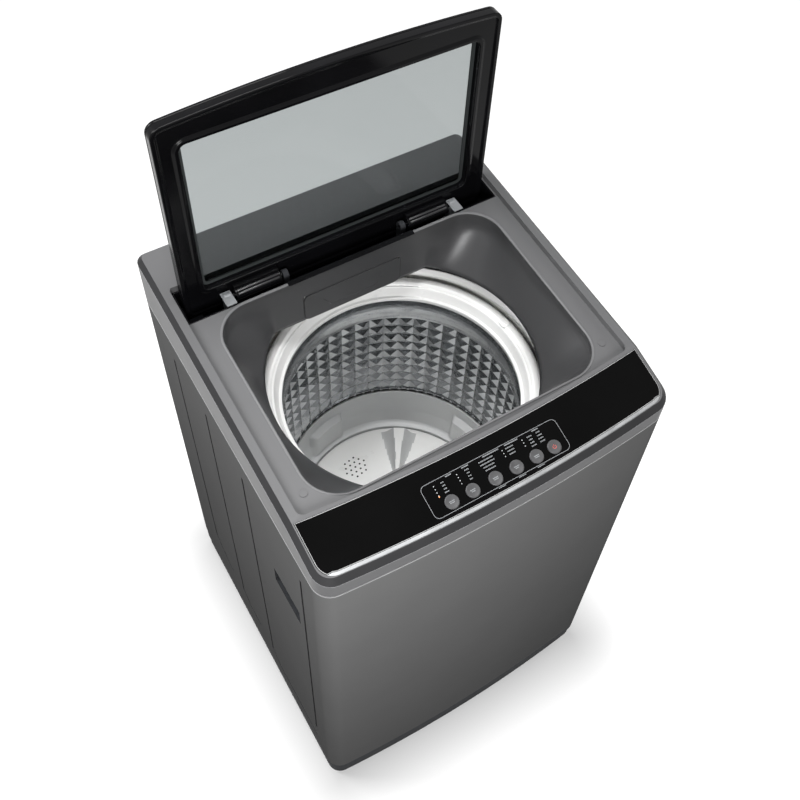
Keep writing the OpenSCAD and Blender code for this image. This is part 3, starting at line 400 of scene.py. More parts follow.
def turned(outline, axis, steps, closed=True):
    """Spins an outline of (radius, height) points, in millimetres, round an upright axis."""
    shape = bmesh.new()
    points = [shape.verts.new((axis.x + r / 1000, axis.y, z / 1000)) for r, z in outline]
    pairs = list(zip(points, points[1:])) + ([(points[-1], points[0])] if closed else [])
    edges = [shape.edges.new(pair) for pair in pairs]
    bmesh.ops.spin(shape, geom=points + edges, cent=axis, axis=(0, 0, 1), angle=2 * math.pi, steps=steps,
                   use_merge=True)
    bmesh.ops.remove_doubles(shape, verts=shape.verts, dist=0.000001)
    bmesh.ops.recalc_face_normals(shape, faces=shape.faces)
    return shape


def ramp(value, start, end):
    """Rises smoothly from 0 at start to 1 at end."""
    share = min(max((value - start) / (end - start), 0), 1)
    return share * share * (3 - 2 * share)


def polar(point):
    """How far a point is from the drum's axis, in millimetres, and its degrees from x towards y."""
    out = point.xy - drum_axis.xy
    return out.length * 1000, math.degrees(math.atan2(out.y, out.x))


def off_centre(angle, first, count):
    """Degrees from the nearest of several places spaced evenly round the axis."""
    pitch = 360 / count
    return (angle - first + pitch / 2) % pitch - pitch / 2


def half_width(box):
    """Half the width of a box, in millimetres."""
    return (box[1].x - box[0].x) * 500


shell_lo, shell_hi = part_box("drum_shell")
drum_axis = (shell_lo + shell_hi) / 2
drum_axis.z = 0
base_lo, base_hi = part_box("drum_base")
foot, sunk = base_hi.z * 1000, base_lo.z * 1000
outer = half_width(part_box("drum_base"))
vane_r = half_width(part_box("pulsator"))

# Polypropylene, pale grey, moulded in a polished tool
base_plastic = surface("pale_grey_polypropylene", 70, "#D2D3D3", "#DADBDB", (0.28, 0.38), grain=(1.5, 0.02))

floor_z = sunk + 4
outline = [(outer - 1.2, foot - 10), (outer - 4, foot - 56), (outer - 14, sunk), (64, sunk), (14, sunk),
           (14, floor_z), (vane_r + 1, floor_z), (vane_r + 2.2, floor_z + 1.2), (vane_r + 2.2, floor_z + 9)]
outline += arc((vane_r + 3.6, floor_z + 10), 1.4, 180, 100, 4)
outline += arc((vane_r + 3.0, floor_z + 28), 16.5, -88, -6, 10)
rise = outline[-1]
WALL_POINTS = 24
for step in range(1, WALL_POINTS + 1):
    share = step / WALL_POINTS
    outline.append((rise[0] + (outer - 4.6 - rise[0]) * share, rise[1] + (foot - 3 - rise[1]) * share))
outline += arc((outer - 2.9, foot - 2.2), 1.7, 190, 0, 8)
shape = turned(outline, drum_axis, 360)

# Four pads stand out from the wall by PAD_DEPTH and fade into it all round
PADS, FIRST_PAD, PAD_HALF_TURN, PAD_DEPTH = 4, 104, 12, 13
pad_top, pad_foot = foot - 25, floor_z + 12
for vert in shape.verts:
    radius, angle = polar(vert.co)
    height = vert.co.z * 1000
    if radius < vane_r + 4 or height < floor_z + 10 or radius > outer - 3:
        continue
    aside = abs(off_centre(angle, FIRST_PAD, PADS))
    inward = ramp(height, pad_foot - 4, pad_foot + 14) * (1 - ramp(height, pad_top - 3, pad_top + 2))
    inward *= 1 - ramp(aside, PAD_HALF_TURN - 2.5, PAD_HALF_TURN)
    vert.co.xy = drum_axis.xy + (vert.co.xy - drum_axis.xy) * (1 - PAD_DEPTH * inward / radius)
finish_piece(shape, "drum_base_moulding", base_plastic, "drum", ["drum_base"], smooth=50)


# --- Drum wall ---
# Stainless sheet, embossed all over with shallow pyramids and pierced where four of them meet, then
# rolled into a cylinder. A slotted hem at its foot is crimped round the lip of the moulded base.
def face_axis(shape):
    """Turns the faces of a round shape towards the drum's axis."""
    for face in shape.faces:
        if (face.calc_center_median() - drum_axis).xy.dot(face.normal.xy) > 0:
            face.normal_flip()


def thicken(piece, name, thickness):
    """Gives a piece that is only a surface its thickness, behind its faces."""
    solid = piece.modifiers.new(name, "SOLIDIFY")
    solid.thickness = thickness
    solid.offset = -1


COLUMNS, ROWS = 48, 10
EMBOSS, PIERCED_R, SHEET = 0.0042, 0.0019, 0.0006
wall_r = (shell_hi.x - shell_lo.x) / 2 - 0.0013
wall_foot, wall_top = base_hi.z + 0.010, shell_hi.z

# Bright annealed stainless: mirror like on each facet, with a faint stretch grain from the press
drum_steel = surface(
    "stainless_steel_sheet", 14, "#959799", "#A9ABAD", (0.06, 0.15), grain=(3.5, 0.12, 2.0), Metallic=1.0)

shape = bmesh.new()
bmesh.ops.create_grid(shape, x_segments=COLUMNS, y_segments=ROWS, size=1)
for vert in shape.verts:
    turn = math.pi * vert.co.x
    height = wall_foot + (wall_top - wall_foot) * (vert.co.y + 1) / 2
    vert.co = (drum_axis.x + wall_r * math.sin(turn), drum_axis.y + wall_r * math.cos(turn), height)
bmesh.ops.remove_doubles(shape, verts=shape.verts, dist=0.00001)
shape.normal_update()
meetings = [vert for vert in shape.verts if not vert.is_boundary]
bmesh.ops.poke(shape, faces=shape.faces, offset=EMBOSS)
pierced = bmesh.ops.bevel(shape, geom=meetings, offset=PIERCED_R, affect="VERTICES", segments=1, profile=0.5,
                          material=-1, clamp_overlap=True)
bmesh.ops.delete(shape, geom=pierced["faces"], context="FACES")
wall = finish_piece(shape, "drum_wall", drum_steel, "drum", ["drum_shell"], smooth=0)
thicken(wall, "sheet", SHEET)

# Holes and slots are painted black, a painted shadow, because the space behind them is closed
shadow_black = surface("painted_shadow_black", 10, "#080808", "#0E0E0E", 0.8)
SLOTS = 72
hem_r, hem_top = wall_r * 1000, wall_foot * 1000
hem = turned([(hem_r - 0.6, hem_top + 0.3), (hem_r - 1.6, hem_top - 1.2), (hem_r - 1.6, hem_top - 6.6),
              (hem_r - 0.2, hem_top - 8.5)], drum_axis, SLOTS * 4, closed=False)
slots = [face for face in hem.faces if abs(face.normal.z) < 0.1
         and off_centre(polar(face.calc_center_median())[1], 0, SLOTS) > -360 / SLOTS / 4]
face_axis(hem)
bmesh.ops.inset_region(hem, faces=slots, thickness=0.0005, depth=0.0007)
for face in slots:
    face.material_index = 1
finish_piece(hem, "drum_hem", [drum_steel, shadow_black], "drum", smooth=40)


# --- Balance ring ---
# A hollow white ring, blow moulded and filled with salt water, that sits on the drum wall. Its crown
# is convex, a step leads down to a thin lip, and a plug closes the filling hole.
ring_foot, crown = [corner.z * 1000 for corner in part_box("balance_ring")]
ring_r = half_width(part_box("balance_ring"))
bore = ring_r - 31
RING_STEPS = 288

# Gloss polypropylene, bright white
ring_plastic = surface(
    "gloss_white_polypropylene", 90, "#D0D0CF", "#D4D4D3", (0.2, 0.3), grain=(1.8, 0.01),
    Subsurface_Weight=0.05, Subsurface_Radius=(0.003, 0.003, 0.0025))

outline = [(bore + 1.5, ring_foot), (bore + 8, ring_foot), (bore + 8, ring_foot + 9),
           (ring_r - 3, ring_foot + 9)]
outline += arc((ring_r - 3, ring_foot + 12), 3, -80, 0, 4)
outline += arc((ring_r - 10, crown - 10), 10, 0, 80, 8)
outline += arc((ring_r - 13, crown - 3), 3, 80, 120, 2)
outline += arc((bore + 12.5, crown - 6.5), 2.5, 70, 160, 5)
outline += [(bore + 8.5, crown - 11), (bore + 4.5, crown - 17.5)]
outline += arc((bore + 1.6, crown - 19.5), 1.6, 80, 200, 6)
outline += [(bore + 0.6, crown - 26)]
shape = turned(outline, drum_axis, RING_STEPS)
finish_piece(shape, "balance_ring_moulding", ring_plastic, "drum", ["balance_ring"],
             smooth=45)

# The sheet's plain upper band shows inside the ring, below its lip
band = turned([(bore + 0.2, ring_foot - 2), (bore - 0.4, ring_foot - 1), (bore - 0.4, crown - 25.5),
               (bore + 0.2, crown - 24.5)], drum_axis, RING_STEPS, closed=False)
face_axis(band)
finish_piece(band, "drum_upper_band", drum_steel, "drum", smooth=45)


def put(shape, verts, place, lean=0.0, axis="Y"):
    """Turns points of a shape lean degrees about an axis through the origin, and moves them to a place."""
    turn = Matrix.Rotation(math.radians(lean), 3, axis)
    bmesh.ops.rotate(shape, verts=verts, cent=(0, 0, 0), matrix=turn)
    bmesh.ops.translate(shape, verts=verts, vec=place)


def add_block(shape, size, place, lean=0.0):
    """Adds a block to a shape, with its middle at a place."""
    block = bmesh.ops.create_cube(shape, size=1)["verts"]
    bmesh.ops.scale(shape, vec=size, verts=block)
    put(shape, block, place, lean)
    return block


def rounded_plate(width, length, radius, height, rim=0.0, segments=2):
    """A plate with round upright corners and a rounded upper rim, centred on the origin at z = 0."""
    shape = bmesh.new()
    add_block(shape, (width, length, height), (0, 0, height / 2))
    upright = [e for e in shape.edges if abs(e.verts[0].co.z - e.verts[1].co.z) > height / 2]
    round_edges(shape, upright, radius, 5)
    if rim:
        upper = [e for e in shape.edges if all(abs(v.co.z - height) < 0.00002 for v in e.verts)
                 and e.calc_face_angle(0) > 0.5]
        round_edges(shape, upper, rim, segments)
    return shape


plug = rounded_plate(0.013, 0.015, 0.0035, 0.0016, 0.0006)
plug_x, plug_z = (ring_r - 13.5) / 1000, (crown - 1.0) / 1000
put(plug, plug.verts, drum_axis + Vector((plug_x, 0.019, plug_z)), -10)
finish_piece(plug, "ring_plug", ring_plastic, "drum", smooth=SHARP)


# --- Pulsator ---
# A white moulded disc, slightly domed, with four vanes that flare towards the rim and a pierced
# patch between each pair. A screw under the round cap in the middle holds it to the wash shaft.
pulsator_plastic = surface(
    "semi_gloss_white_polypropylene", 60, "#F2F2F0", "#F6F6F4", (0.26, 0.36), grain=(1.5, 0.02))

# The vanes' steep flanks are painted greyer, a painted shade, and are left matt by spark erosion in the mould
flank_shade_plastic = surface("painted_shade_white_polypropylene", 30, "#C2C3C3", "#CACBCB", (0.55, 0.68))

VANES, VANE_TURN, HUB_R = 4, 57, 52
rim_level = floor_z + 9.5
CREST, FLANK_STEEP = 22, 0.93
crest_r = vane_r - 12


def pulsator_level(radius, aside):
    """Height of the pulsator's face in millimetres, aside being degrees from the middle of a vane."""
    level = rim_level + 5 * (1 - (radius / vane_r) ** 2)
    level -= 1.6 * ramp(radius, vane_r - 5, vane_r)
    hub = 24 * (1 - ramp(radius, 18, HUB_R))
    across = abs(math.radians(aside)) * radius
    base_w = 5 + 28 * max(radius - 60, 0) / (crest_r - 60)
    ridge_w = 4 + 7 * (max(radius - 80, 0) / (crest_r - 80)) ** 1.5
    slope = min(max((across - ridge_w) / (base_w - ridge_w), 0), 1)
    flank = (1 - slope) ** 1.6 * (1 - 0.08 * (1 - slope))
    vane = CREST * flank * (1 - ramp(radius, crest_r, crest_r + 5))
    return level + max(hub, vane * ramp(radius, 10, 40))


DISC_POINTS = 60
outline = [(vane_r * step / DISC_POINTS, rim_level) for step in range(1, DISC_POINTS + 1)]
outline += [(vane_r, rim_level - 2.5), (vane_r - 2, rim_level - 4.5), (14, rim_level - 5)]
shape = turned([(0.001, rim_level)] + outline, drum_axis, 432, closed=False)
for vert in shape.verts:
    radius, angle = polar(vert.co)
    if vert.co.z * 1000 > rim_level - 1:
        vert.co.z = pulsator_level(radius, off_centre(angle, VANE_TURN, VANES)) / 1000
shape.normal_update()
# Steep faces on the vanes take the painted shade
for face in shape.faces:
    radius = polar(face.calc_center_median())[0]
    if 0 < face.normal.z < FLANK_STEEP and HUB_R < radius < crest_r + 4:
        face.material_index = 1
finish_piece(shape, "pulsator_disc", [pulsator_plastic, flank_shade_plastic], "pulsator_unit",
             ["pulsator"], smooth=40)

# The holes are black discs laid on the face, a painted shadow, because the space under the disc is closed
HOLE_PITCH, HOLE_R, PATCH_R = 9.6, 0.0017, 102
shape = bmesh.new()
for quarter in range(VANES):
    middle = math.radians(VANE_TURN + 45 + 90 * quarter)
    for row in range(-2, 3):
        for place in range(5 - abs(row)):
            along = (place - (4 - abs(row)) / 2) * HOLE_PITCH
            out = PATCH_R + row * HOLE_PITCH * math.sqrt(3) / 2
            x = out * math.cos(middle) - along * math.sin(middle)
            y = out * math.sin(middle) + along * math.cos(middle)
            level = pulsator_level(math.hypot(x, y), 45)
            at = Matrix.Translation((drum_axis.x + x / 1000, drum_axis.y + y / 1000, (level + 0.12) / 1000))
            bmesh.ops.create_circle(shape, cap_ends=True, radius=HOLE_R, segments=14, matrix=at)
finish_piece(shape, "pulsator_hole_shadows", shadow_black, "pulsator_unit", smooth=0)

soften("pulsator_cap", 1.2, "pulsator_cap_moulding", pulsator_plastic, "pulsator_unit",
       segments=3, smooth=SHARP)


# --- Tub cover ---
# The white ring that snaps onto the tub's upper edge, round the drum. It keeps splashes and dropped
# things out of the gap between the two.
soften("tub_cover_ring", 0.9, "tub_cover_moulding", ring_plastic, "tub")


# --- Top cover ---
# One ABS moulding painted in the cabinet's grey: a sloping rim, a seat for the shut lid, and the
# deep ledge of the control panel. It snaps over the cabinet's upper edge.
# The metallic paint's flakes and the tool's fine texture are drawn at 1.1 mm
cover_paint = surface(
    "painted_abs", 80, "#515152", "#535354", (0.34, 0.38), grain=(1.1, 0.015), specular=0.08)
coat(cover_paint, "lid_bumpers")
# The slanting edge round the top is painted dark, a painted shade, in a satin finish
slant_shade_paint = surface("painted_slant_shade_abs", 60, "#282829", "#2C2C2D", (0.37, 0.43), specular=0.08)
# The cover's outer rounded corners are painted paler, a painted highlight
edge_highlight_paint = surface("painted_edge_highlight_abs", 40, "#88888A", "#949495", 0.3)

# The lower edge stands a little off the cabinet's, which leaves a dark shadow line all round
SHADOW_LINE, ROUNDING = 0.002, 0.0012
shape = node_copy("top_cover")
for vert in shape.verts:
    if abs(vert.co.z - cabinet_hi.z) < 0.0001:
        vert.co.z += SHADOW_LINE
shape.normal_update()
# How far up the faces with the painted shade and those with the painted highlight look: the upright part of
# their normals
SLANT_LOW, SLANT_HIGH = 0.4, 0.85
HIGHLIGHT_LOW, HIGHLIGHT_HIGH = 0.05, 0.62
# The slanting faces take the painted shade
for face in shape.faces:
    if SLANT_LOW < face.normal.z < SLANT_HIGH:
        face.material_index = 1
rounded = round_edges(shape, turned_edges(shape), ROUNDING, clamp=True)
shape.normal_update()
cover_middle = sum(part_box("top_cover"), Vector()) / 2
# Rounded faces that look outwards and up take the painted highlight
for face in rounded:
    away = face.calc_center_median() - cover_middle
    if HIGHLIGHT_LOW < face.normal.z < HIGHLIGHT_HIGH and face.normal.xy.dot(away.xy) > 0:
        face.material_index = 2
finish_piece(shape, "cover_moulding", [cover_paint, slant_shade_paint, edge_highlight_paint], "root",
             ["top_cover"])


# --- Well ---
# The liner between the lid's seat and the drum: a rounded rectangle at its mouth that runs down in
# smooth cones to a round neck, cut flat at the front and the back. ABS, painted like the cover.
well_lo, well_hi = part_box("well_funnel")
WALL = 0.0025
mouth_x = well_hi.x - WALL
mouth_front, mouth_back = well_lo.y + WALL, well_hi.y - WALL
MOUTH_CORNER, NECK_R, NECK_FLAT_STEP = 0.050, 0.188, 0.006
bend_z = well_lo.z + 0.062
RIM_SLOPE = math.tan(math.radians(3.7))


def seat_level(y):
    """Height of the lid's seat, which slopes down to the front."""
    return well_hi.z - (well_hi.y - y) * RIM_SLOPE


def mouth_point(turn, grow=0.0):
    """Where a ray from the drum's axis meets the rounded rectangle of the mouth, grown all round."""
    ray = Vector((math.cos(turn), math.sin(turn)))
    half_x = mouth_x + grow
    limit_y = abs((mouth_back if ray.y > 0 else mouth_front) - drum_axis.y) + grow
    reach = min(half_x / max(abs(ray.x), 1e-6), limit_y / max(abs(ray.y), 1e-6))
    radius = MOUTH_CORNER + grow
    corner = Vector((math.copysign(half_x - radius, ray.x), math.copysign(limit_y - radius, ray.y)))
    past_x = abs(ray.x) * reach > half_x - radius
    past_y = abs(ray.y) * reach > limit_y - radius
    if past_x and past_y:
        along = corner.dot(ray)
        reach = along + math.sqrt(max(radius ** 2 - corner.length_squared + along ** 2, 0))
    return ray * reach


def neck_point(turn):
    """Where a ray from the drum's axis meets the neck's circle or one of its flats."""
    ray = Vector((math.cos(turn), math.sin(turn)))
    flat = mouth_back - drum_axis.y if ray.y > 0 else drum_axis.y - mouth_front - NECK_FLAT_STEP
    return ray * min(NECK_R, flat / max(abs(ray.y), 1e-6))


def well_point(turn, row):
    """A point of the liner: rows run up the cone, up the upright wall, then over the lip."""
    if row <= CONE_ROWS:
        share = row / CONE_ROWS
        flat = neck_point(turn).lerp(mouth_point(turn), share)
        level = well_lo.z + (bend_z - well_lo.z) * share
    else:
        over = max(row - CONE_ROWS - WALL_ROWS, 0) / LIP_ROWS
        grow = LIP_R * (1 - math.cos(over * math.pi / 2)) + (FLANGE if row == LAST_ROW else 0)
        flat = mouth_point(turn, grow)
        top = seat_level(flat.y + drum_axis.y) - LIP_R
        level = bend_z + (top - bend_z) * min((row - CONE_ROWS) / WALL_ROWS, 1)
        level += (LIP_R + 0.00015) * math.sin(min(over, 1) * math.pi / 2)
    return Vector((flat.x + drum_axis.x, flat.y + drum_axis.y, level))


AROUND = 360
CONE_ROWS, WALL_ROWS, LIP_ROWS = 12, 3, 4
LAST_ROW = CONE_ROWS + WALL_ROWS + LIP_ROWS + 1
LIP_R, FLANGE = 0.0021, 0.0008
shape = bmesh.new()
bmesh.ops.create_grid(shape, x_segments=AROUND, y_segments=LAST_ROW, size=1)
crease = []
for vert in shape.verts:
    row = round((vert.co.y + 1) / 2 * LAST_ROW)
    vert.co = well_point(math.pi * vert.co.x, min(row, LAST_ROW))
    if CONE_ROWS - 2 <= row <= CONE_ROWS + 1:
        crease.append(vert)
bmesh.ops.remove_doubles(shape, verts=shape.verts, dist=0.00001)
crease = [vert for vert in crease if vert.is_valid]
for turn in range(4):
    bmesh.ops.smooth_vert(shape, verts=crease, factor=0.5, use_axis_x=True, use_axis_y=True, use_axis_z=True)

# The drawer comes out through a square hole in the back wall
drawer_lo, drawer_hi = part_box("detergent_drawer")
GAP = 0.0006
sides = [((drawer_lo.x - GAP, 0, 0), (1, 0, 0)), ((drawer_hi.x + GAP, 0, 0), (1, 0, 0)),
         ((0, 0, drawer_hi.z + GAP), (0, 0, 1))]
for point, normal in sides:
    cut(shape, point, normal)
hole = []
for face in shape.faces:
    middle = face.calc_center_median()
    if abs(middle.x) < drawer_hi.x + GAP and middle.y > 0.1 and middle.z < drawer_hi.z + GAP:
        hole.append(face)
bmesh.ops.delete(shape, geom=hole, context="FACES")
for face in shape.faces:
    toward = Vector((drum_axis.x, drum_axis.y, well_hi.z)) - face.calc_center_median()
    if face.normal.dot(toward) < 0:
        face.normal_flip()
    middle = face.calc_center_median()
    # Faces on the lip take the painted highlight
    if middle.z > seat_level(middle.y) - LIP_R / 2:
        face.material_index = 1
# The liner's paint is the cover's, painted a shade darker: a painted shade for the well
liner_shade_paint = surface(
    "painted_shade_abs", 80, "#3A3A3B", "#3C3C3D", (0.31, 0.35), grain=(1.1, 0.015), specular=0.25,
    Metallic=0.15)
# The lip round its mouth is painted a little paler, a painted highlight
lip_highlight_paint = surface("painted_lip_highlight_abs", 60, "#5C5C5D", "#606061", 0.36, specular=0.08)
LINER_T = 0.0018
liner = finish_piece(shape, "well_liner", [liner_shade_paint, lip_highlight_paint], "root",
                     ["well_funnel"], smooth=28)
thicken(liner, "wall", LINER_T)


# --- Detergent drawer ---
# A drawer with two trays behind a painted front that slides out over the drum. The front laps its
# opening over a thin black seal, a painted shadow line, and a shallow finger pull is pressed into its lower
# half.
soften("detergent_drawer", 0.8, "drawer_trays", cover_paint, "drawer")

front_w, front_h = drawer_hi.x - drawer_lo.x, drawer_hi.z - drawer_lo.z
FRONT_CORNER, FRONT_T = 0.009, 0.0009
SEAL_T, THIN_ROUND = 0.0004, 0.0003
middle_z = (drawer_lo.z + drawer_hi.z) / 2
# The black seal is a painted shadow line in the gap round the front
seal = rounded_plate(front_w + 0.0046, front_h + 0.0023, FRONT_CORNER + 0.001, SEAL_T)
put(seal, seal.verts, (0, drawer_lo.y - 0.0001, middle_z), 90, "X")
finish_piece(seal, "drawer_shadow_seal", black_rubber, "drawer", smooth=SHARP)
# The front and the pull wear the liner's darker paint, the well's painted shade
front = rounded_plate(front_w + 0.0018, front_h + 0.0003, FRONT_CORNER, FRONT_T, THIN_ROUND)
put(front, front.verts, (0, drawer_lo.y - 0.0005, middle_z), 90, "X")
finish_piece(front, "drawer_front", liner_shade_paint, "drawer")

# The pull is a shallow hollow: a long straight lower edge and two slanting sides
pull = bmesh.new()
PULL_W, PULL_SIDE, PULL_T, PULL_LEAN = 0.072, 0.022, 0.0011, 55
side_x = PULL_W / 2 + 0.006
for x, z, length, lean in [(0, -0.012, PULL_W, 0), (side_x, -0.003, PULL_SIDE, -PULL_LEAN),
                           (-side_x, -0.003, PULL_SIDE, PULL_LEAN)]:
    add_block(pull, (length, PULL_T, PULL_T), (x, drawer_lo.y - 0.0013, middle_z + z), lean)
round_edges(pull, pull.edges[:], THIN_ROUND)
finish_piece(pull, "drawer_pull", liner_shade_paint, "drawer", smooth=SHARP)


# --- Hinge trough ---
# A gloss black liner behind the well that the lid's barrels turn in, with a stepped sill between
# the two hinges, the lid switch at its left end, and a flat grey tab over each outer lug.
gloss_black = surface(
    "gloss_black_abs", 70, "#070708", "#0A0A0C", (0.10, 0.18), grain=(3.0, 0.008), specular=0.1)
soften("hinge_trough", 0.8, "trough_liner", gloss_black, "root")
coat(gloss_black, "hinge_pins")

trough_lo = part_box("hinge_trough")[0]
hinge = sum(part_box("hinge_pins"), Vector()) / 2
SILL_W, STEPS, STEP_H, STEP_L = 0.168, 4, 0.0035, 0.0042
sill = bmesh.new()
for step in range(STEPS):
    height = 0.006 + (STEPS - step) * STEP_H
    add_block(sill, (SILL_W, STEP_L * 0.86, height),
              (0, trough_lo.y + 0.0052 + STEP_L * step, trough_lo.z + WALL + height / 2))
round_edges(sill, sill.edges[:], 0.0008, 3)
finish_piece(sill, "trough_sill", gloss_black, "root")

# Between the hinges the trough's front edge laps forward over the well's lip
LAP, LAP_T = 0.0045, 0.0006
on_seat = seat_level(well_hi.y) + 0.0002
lap = rounded_plate(0.197, LAP + 0.004, 0.0018, LAP_T, THIN_ROUND)
put(lap, lap.verts, (0, well_hi.y - LAP / 2 + 0.001, on_seat))
finish_piece(lap, "trough_front_lap", gloss_black, "root")

soften("lid_switch", 1.6, "lid_switch_case", gloss_black, "root", segments=3)
switch_lo, switch_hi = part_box("lid_switch")
catch = rounded_plate(0.009, 0.011, 0.002, 0.007, 0.0016, 3)
put(catch, catch.verts, (switch_hi.x + 0.008, switch_lo.y + 0.008, switch_lo.z))
finish_piece(catch, "lid_switch_catch", gloss_black, "root")

# Light grey glass filled nylon of the tabs, plain and satin. The outer lugs are moulded with them
tab_plastic = surface("glass_filled_nylon", 20, "#6E7072", "#76787A", (0.4, 0.52), grain=(0.8, 0.04))
LUG_W, TAB_W, TAB_T = 0.02, 0.0145, 0.0009
lug_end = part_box("hinge_lugs")[1].x
lugs = node_copy("hinge_lugs", 0.5)
for face in lugs.faces:
    if abs(face.calc_center_median().x) > lug_end - LUG_W:
        face.material_index = 1
finish_piece(lugs, "hinge_lug_pair", [dark_moulding, tab_plastic], "root", ["hinge_lugs"])
tab_front, tab_back = well_hi.y + 0.003, hinge.y + 0.006
for side, name in ((-1, "left"), (1, "right")):
    tab = rounded_plate(TAB_W, tab_back - tab_front, 0.0012, TAB_T, THIN_ROUND)
    put(tab, tab.verts, (side * (lug_end - 0.0045), (tab_front + tab_back) / 2, on_seat))
    finish_piece(tab, "hinge_tab_" + name, tab_plastic, "root")

# The barrels turn on the pins, and three ribs stiffen each of them
soften("lid_barrels", 0.7, "lid_barrel_pair", gloss_black, "lid")
# Black ABS of the ribs, more satin than the frame's and painted a shade paler: a painted highlight along them
satin_black = surface("satin_black_abs_painted_highlight", 40, "#131315", "#171719", (0.26, 0.34))
BARREL_R, BARREL_L, RIB_R, RIB_LEANS = 0.0090, 0.066, 0.0019, (78, 108, 138)
barrel_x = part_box("lid_barrels")[1].x - BARREL_L / 2
ribs = bmesh.new()
for side in (-1, 1):
    for lean in RIB_LEANS:
        out = BARREL_R * math.cos(math.radians(lean)), BARREL_R * math.sin(math.radians(lean))
        at = Matrix.Translation((side * barrel_x, hinge.y + out[0], hinge.z + out[1]))
        bmesh.ops.create_cone(ribs, cap_ends=True, segments=12, radius1=RIB_R, radius2=RIB_R,
                              depth=BARREL_L - 0.006, matrix=at @ Matrix.Rotation(math.radians(90), 4, "Y"))
round_edges(ribs, [e for e in ribs.edges if e.calc_face_angle(0) > 1.2], 0.0005)
finish_piece(ribs, "lid_barrel_ribs", satin_black, "lid", smooth=SHARP)


# --- Lid ---
# A gloss black frame with a raised border round the outside and the window, a tinted tempered glass
# bonded behind it, and a thin rim that hides the glass's edge.
frame_lo, frame_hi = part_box("lid_frame")
BORDER, BORDER_EDGE, SUNK = 0.0055, 0.0025, 0.0022
lid = node_copy("lid_frame")
inner_face = [f for f in lid.faces if f.normal.y < -0.99 and f.calc_center_median().y < frame_lo.y + 0.0001]
for width, depth in ((BORDER, 0), (BORDER_EDGE, -SUNK)):
    bmesh.ops.inset_region(lid, faces=inner_face, thickness=width, depth=depth, use_boundary=True)
round_edges(lid, turned_edges(lid), ROUNDING, 3, clamp=True)
finish_piece(lid, "lid_frame_moulding", gloss_black, "lid", ["lid_frame"])
soften("lid_rim", 1.5, "lid_rim_moulding", gloss_black, "lid", segments=3)


def keep_border(shape, faces, width):
    """Cuts the inside out of flat faces and leaves a border of a width."""
    bmesh.ops.inset_region(shape, faces=faces, thickness=width, depth=0, use_boundary=True)
    bmesh.ops.delete(shape, geom=faces, context="FACES")


# A charcoal band of EPDM seals the glass to the frame and shows as a soft border round the window
WINDOW_X, BAND_W, BAND_T, BAND_LAP = 0.203, 0.0075, 0.0014, 0.004
window_foot, window_top = frame_lo.z + 0.043, frame_hi.z - 0.044
gasket_grey = surface("epdm_gasket", 30, "#2D3030", "#333636", (0.45, 0.58), specular=0.1)
gasket = rounded_plate(2 * WINDOW_X + BAND_LAP, window_top - window_foot + BAND_LAP, 0.012, BAND_T)
keep_border(gasket, [f for f in gasket.faces if abs(f.normal.z) > 0.9], BAND_W)
put(gasket, gasket.verts, (0, frame_hi.y + 0.0002, (window_foot + window_top) / 2), 90, "X")
finish_piece(gasket, "lid_gasket", gasket_grey, "lid", smooth=30)

# Tempered glass with a faint cool grey body tint, and slow waves left by the rollers
tinted_glass, tree, shader = new_material(
    "tinted_tempered_glass", Base_Color=linear("#A8ADAD"), Roughness=0.0, IOR=1.12, Transmission_Weight=1.0,
    Specular_IOR_Level=0.12)
add_grain(tree, shader, 180, 0.05, 1.0)
coat(tinted_glass, "lid_glass")


# --- Control panel ---
# A gloss black acrylic panel let into the cover's front ledge. A rounded outline, lamps and short
# generic marks are printed on it, and six metallic caps come up through it.
panel_black = surface(
    "gloss_black_acrylic", 100, "#040404", "#060606", (0.03, 0.07), grain=(4.0, 0.006), specular=0.04)
# A thin line of grey ink runs round the panel's edge, but not round the keys' holes
edge_ink = surface("grey_edge_ink", 12, "#747474", "#808080", 0.5)
EDGE_INK_W, HOLE_CLEAR = 0.0008, 0.016
keys = ["button_%d" % number for number in range(1, 7)]
key_places = [sum(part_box(name), Vector()) / 2 for name in keys]
shape = node_copy("control_fascia", 0.5)
shape.normal_update()
upward = max(shape.faces, key=lambda face: face.calc_area() * (face.normal.z > 0.5)).normal.copy()
top_faces = [f for f in shape.faces if f.normal.dot(upward) > 0.9995]
edging = bmesh.ops.inset_region(shape, faces=top_faces, thickness=EDGE_INK_W, depth=0, use_boundary=True)
for face in edging["faces"]:
    middle = face.calc_center_median()
    if min((middle - place).xy.length for place in key_places) > HOLE_CLEAR:
        face.material_index = 1
finish_piece(shape, "control_panel", [panel_black, edge_ink], "root", ["control_fascia"])

# Trim: ABS plated in satin chrome, bright, with a soft highlight
satin_chrome = surface("satin_chrome_plate", 30, "#8A8B8C", "#929394", (0.36, 0.44), Metallic=1.0)
soften("fascia_trim", 0.6, "panel_trim", satin_chrome, "root")

# Lengths on the panel are measured from the middle of the keys' row, along its slope
PANEL_SLOPE, KEY_Y = math.radians(15.7), -0.245
panel_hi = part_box("control_fascia")[1]
key_level = panel_hi.z + (KEY_Y - panel_hi.y) * math.tan(PANEL_SLOPE)
on_panel = Matrix.Translation((0, KEY_Y, key_level)) @ Matrix.Rotation(PANEL_SLOPE, 4, "X")

# Pad printed marks: a pale grey ink, matt beside the gloss of the panel
printed_ink = surface("pale_grey_ink", 2, "#6C6E70", "#7C7E80", 0.6)
PRINT_T = 0.00012


def printed_bar(shape, x, up, width, height, level=0.0):
    """A printed stroke: x and up are its middle on the panel, and the lengths are in millimetres."""
    bar = add_block(shape, (width / 1000, height / 1000, PRINT_T), (x / 1000, up / 1000, level + PRINT_T / 2))
    bmesh.ops.transform(shape, verts=bar, matrix=on_panel)


